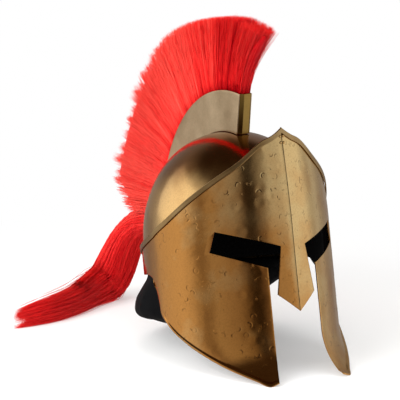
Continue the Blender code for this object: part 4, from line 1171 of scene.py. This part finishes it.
def makeFloor():
    # a round table top that goes over to a white glow towards its edge, so that it ends in the white room; its
    # glow, least in the middle, also lightens the shadows on it: painted light
    angle = np.linspace(0, 2 * np.pi, studio["corners"], endpoint=False)
    ring = np.stack([np.cos(angle), np.sin(angle), 0 * angle], -1) * studio["table"]
    mesh = bpy.data.meshes.new("floor")
    mesh.from_pydata(ring.tolist(), [], [tuple(range(studio["corners"]))])
    obj = bpy.data.objects.new("floor", mesh)
    bpy.context.scene.collection.objects.link(obj)
    obj.visible_glossy = False     # the brass mirrors the room's walls down to its feet
    material, tree, shader = newMaterial("palePaint")
    place3d = addNode(tree, "ShaderNodeTexCoord")
    away = addNode(tree, "ShaderNodeVectorMath", {0: (place3d, "Object")}, operation="LENGTH")
    glow = addNode(tree, "ShaderNodeMapRange", {"Value": (away, "Value")},
                   {"From Min": studio["whiteFrom"], "From Max": studio["whiteAt"],
                    "To Min": studio["whiteLow"]}, interpolation_type="SMOOTHSTEP")
    colour = addNode(tree, "ShaderNodeValToRGB", {"Fac": (glow, "Result")},
                     stops=[(0.0, hexColour(studio["floor"])), (1.0, grey(0.0))])
    # the glow lifts the helmet's shadows on the table: painted light
    setNode(tree, shader, {"Base Color": (colour, "Color"), "Emission Strength": (glow, "Result")},
            {"Emission Color": grey(1.0), "Roughness": 0.8, "Specular IOR Level": 0.0})
    mesh.materials.append(material)


def makeRoom():
    # a room whose walls are brighter and darker by direction under a dark ceiling, seen only in reflections
    world = bpy.data.worlds.new("room")
    bpy.context.scene.world = world
    world.use_nodes = True
    tree = world.node_tree
    direction = addNode(tree, "ShaderNodeTexCoord")
    parts = addNode(tree, "ShaderNodeSeparateXYZ", {"Vector": (direction, "Generated")})
    ahead = addNode(tree, "ShaderNodeMath", {0: (parts, "Y")}, {1: -1.0}, operation="MULTIPLY")
    angle = addNode(tree, "ShaderNodeMath", {0: (parts, "X"), 1: (ahead, "Value")}, operation="ARCTAN2")
    share = addNode(tree, "ShaderNodeMapRange", {"Value": (angle, "Value")},
                    {"From Min": -math.pi, "From Max": math.pi})
    # the darker a wall, the warmer it is
    warmed = lambda v: [v, v * min(1, 0.72 + 0.5 * v), v * min(1, 0.5 + 0.9 * v), 1.0]
    walls = addNode(tree, "ShaderNodeValToRGB", {"Fac": (share, "Result")},
                    stops=[((a + 180) / 360, warmed(v)) for a, v in studio["room"]])
    up = addNode(tree, "ShaderNodeMapRange", {"Value": (parts, "Z")},
                 {"From Min": studio["ceilingFrom"], "From Max": studio["ceilingFull"]})
    dark = studio["ceiling"]
    mixed = addNode(tree, "ShaderNodeMix", {0: (up, "Result"), 6: (walls, "Color")},
                    {7: [dark, dark * 0.7, dark * 0.5, 1.0]}, data_type="RGBA")
    seen = addNode(tree, "ShaderNodeLightPath")
    shown = addNode(tree, "ShaderNodeMix", {0: (seen, "Is Camera Ray"), 6: (mixed, 2)}, {7: grey(1.0)},
                    data_type="RGBA")
    setNode(tree, tree.nodes["Background"], {"Color": (shown, 2)}, {"Strength": 1.0})


def aimFrom(obj, target, azimuth, elevation, distance):
    # stand at a distance from the target, by its azimuth from straight ahead and its elevation, and face it
    a, e = math.radians(azimuth), math.radians(elevation)
    back = Vector((math.sin(a) * math.cos(e), -math.cos(a) * math.cos(e), math.sin(e)))
    obj.location = Vector(target) + back * distance
    obj.rotation_mode = "QUATERNION"
    obj.rotation_quaternion = (-back).to_track_quat("-Z", "Y")


def addLight(name, azimuth, elevation, distance, size, power, mirrored):
    # a softbox aimed at the helmet; one that isn't mirrored lights the hair, cloth and floor alone
    light = bpy.data.lights.new(name, "AREA")
    light.shape = "RECTANGLE"
    light.size, light.size_y = size
    light.energy = power
    obj = bpy.data.objects.new(name, light)
    obj.visible_glossy = mirrored
    bpy.context.scene.collection.objects.link(obj)
    aimFrom(obj, studio["lampAim"], azimuth, elevation, distance)


def makeCamera():
    # a long lens at the photo's angle, with no shift and no depth of field
    cam = bpy.data.cameras.new("camera")
    cam.lens = studio["lens"]
    cam.sensor_width = studio["sensor"]
    cam.clip_start, cam.clip_end = 0.05, 50.0
    obj = bpy.data.objects.new("camera", cam)
    bpy.context.scene.collection.objects.link(obj)
    aimFrom(obj, toWorld(studio["aim"]), studio["azimuth"], studio["elevation"], studio["distance"])
    bpy.context.scene.camera = obj


makeFloor()
makeRoom()
for lampName, setting in studio["lamps"].items():
    addLight(lampName, *setting)
makeCamera()
bpy.context.scene.view_settings.view_transform = "Standard"
print("helmet: studio ready")
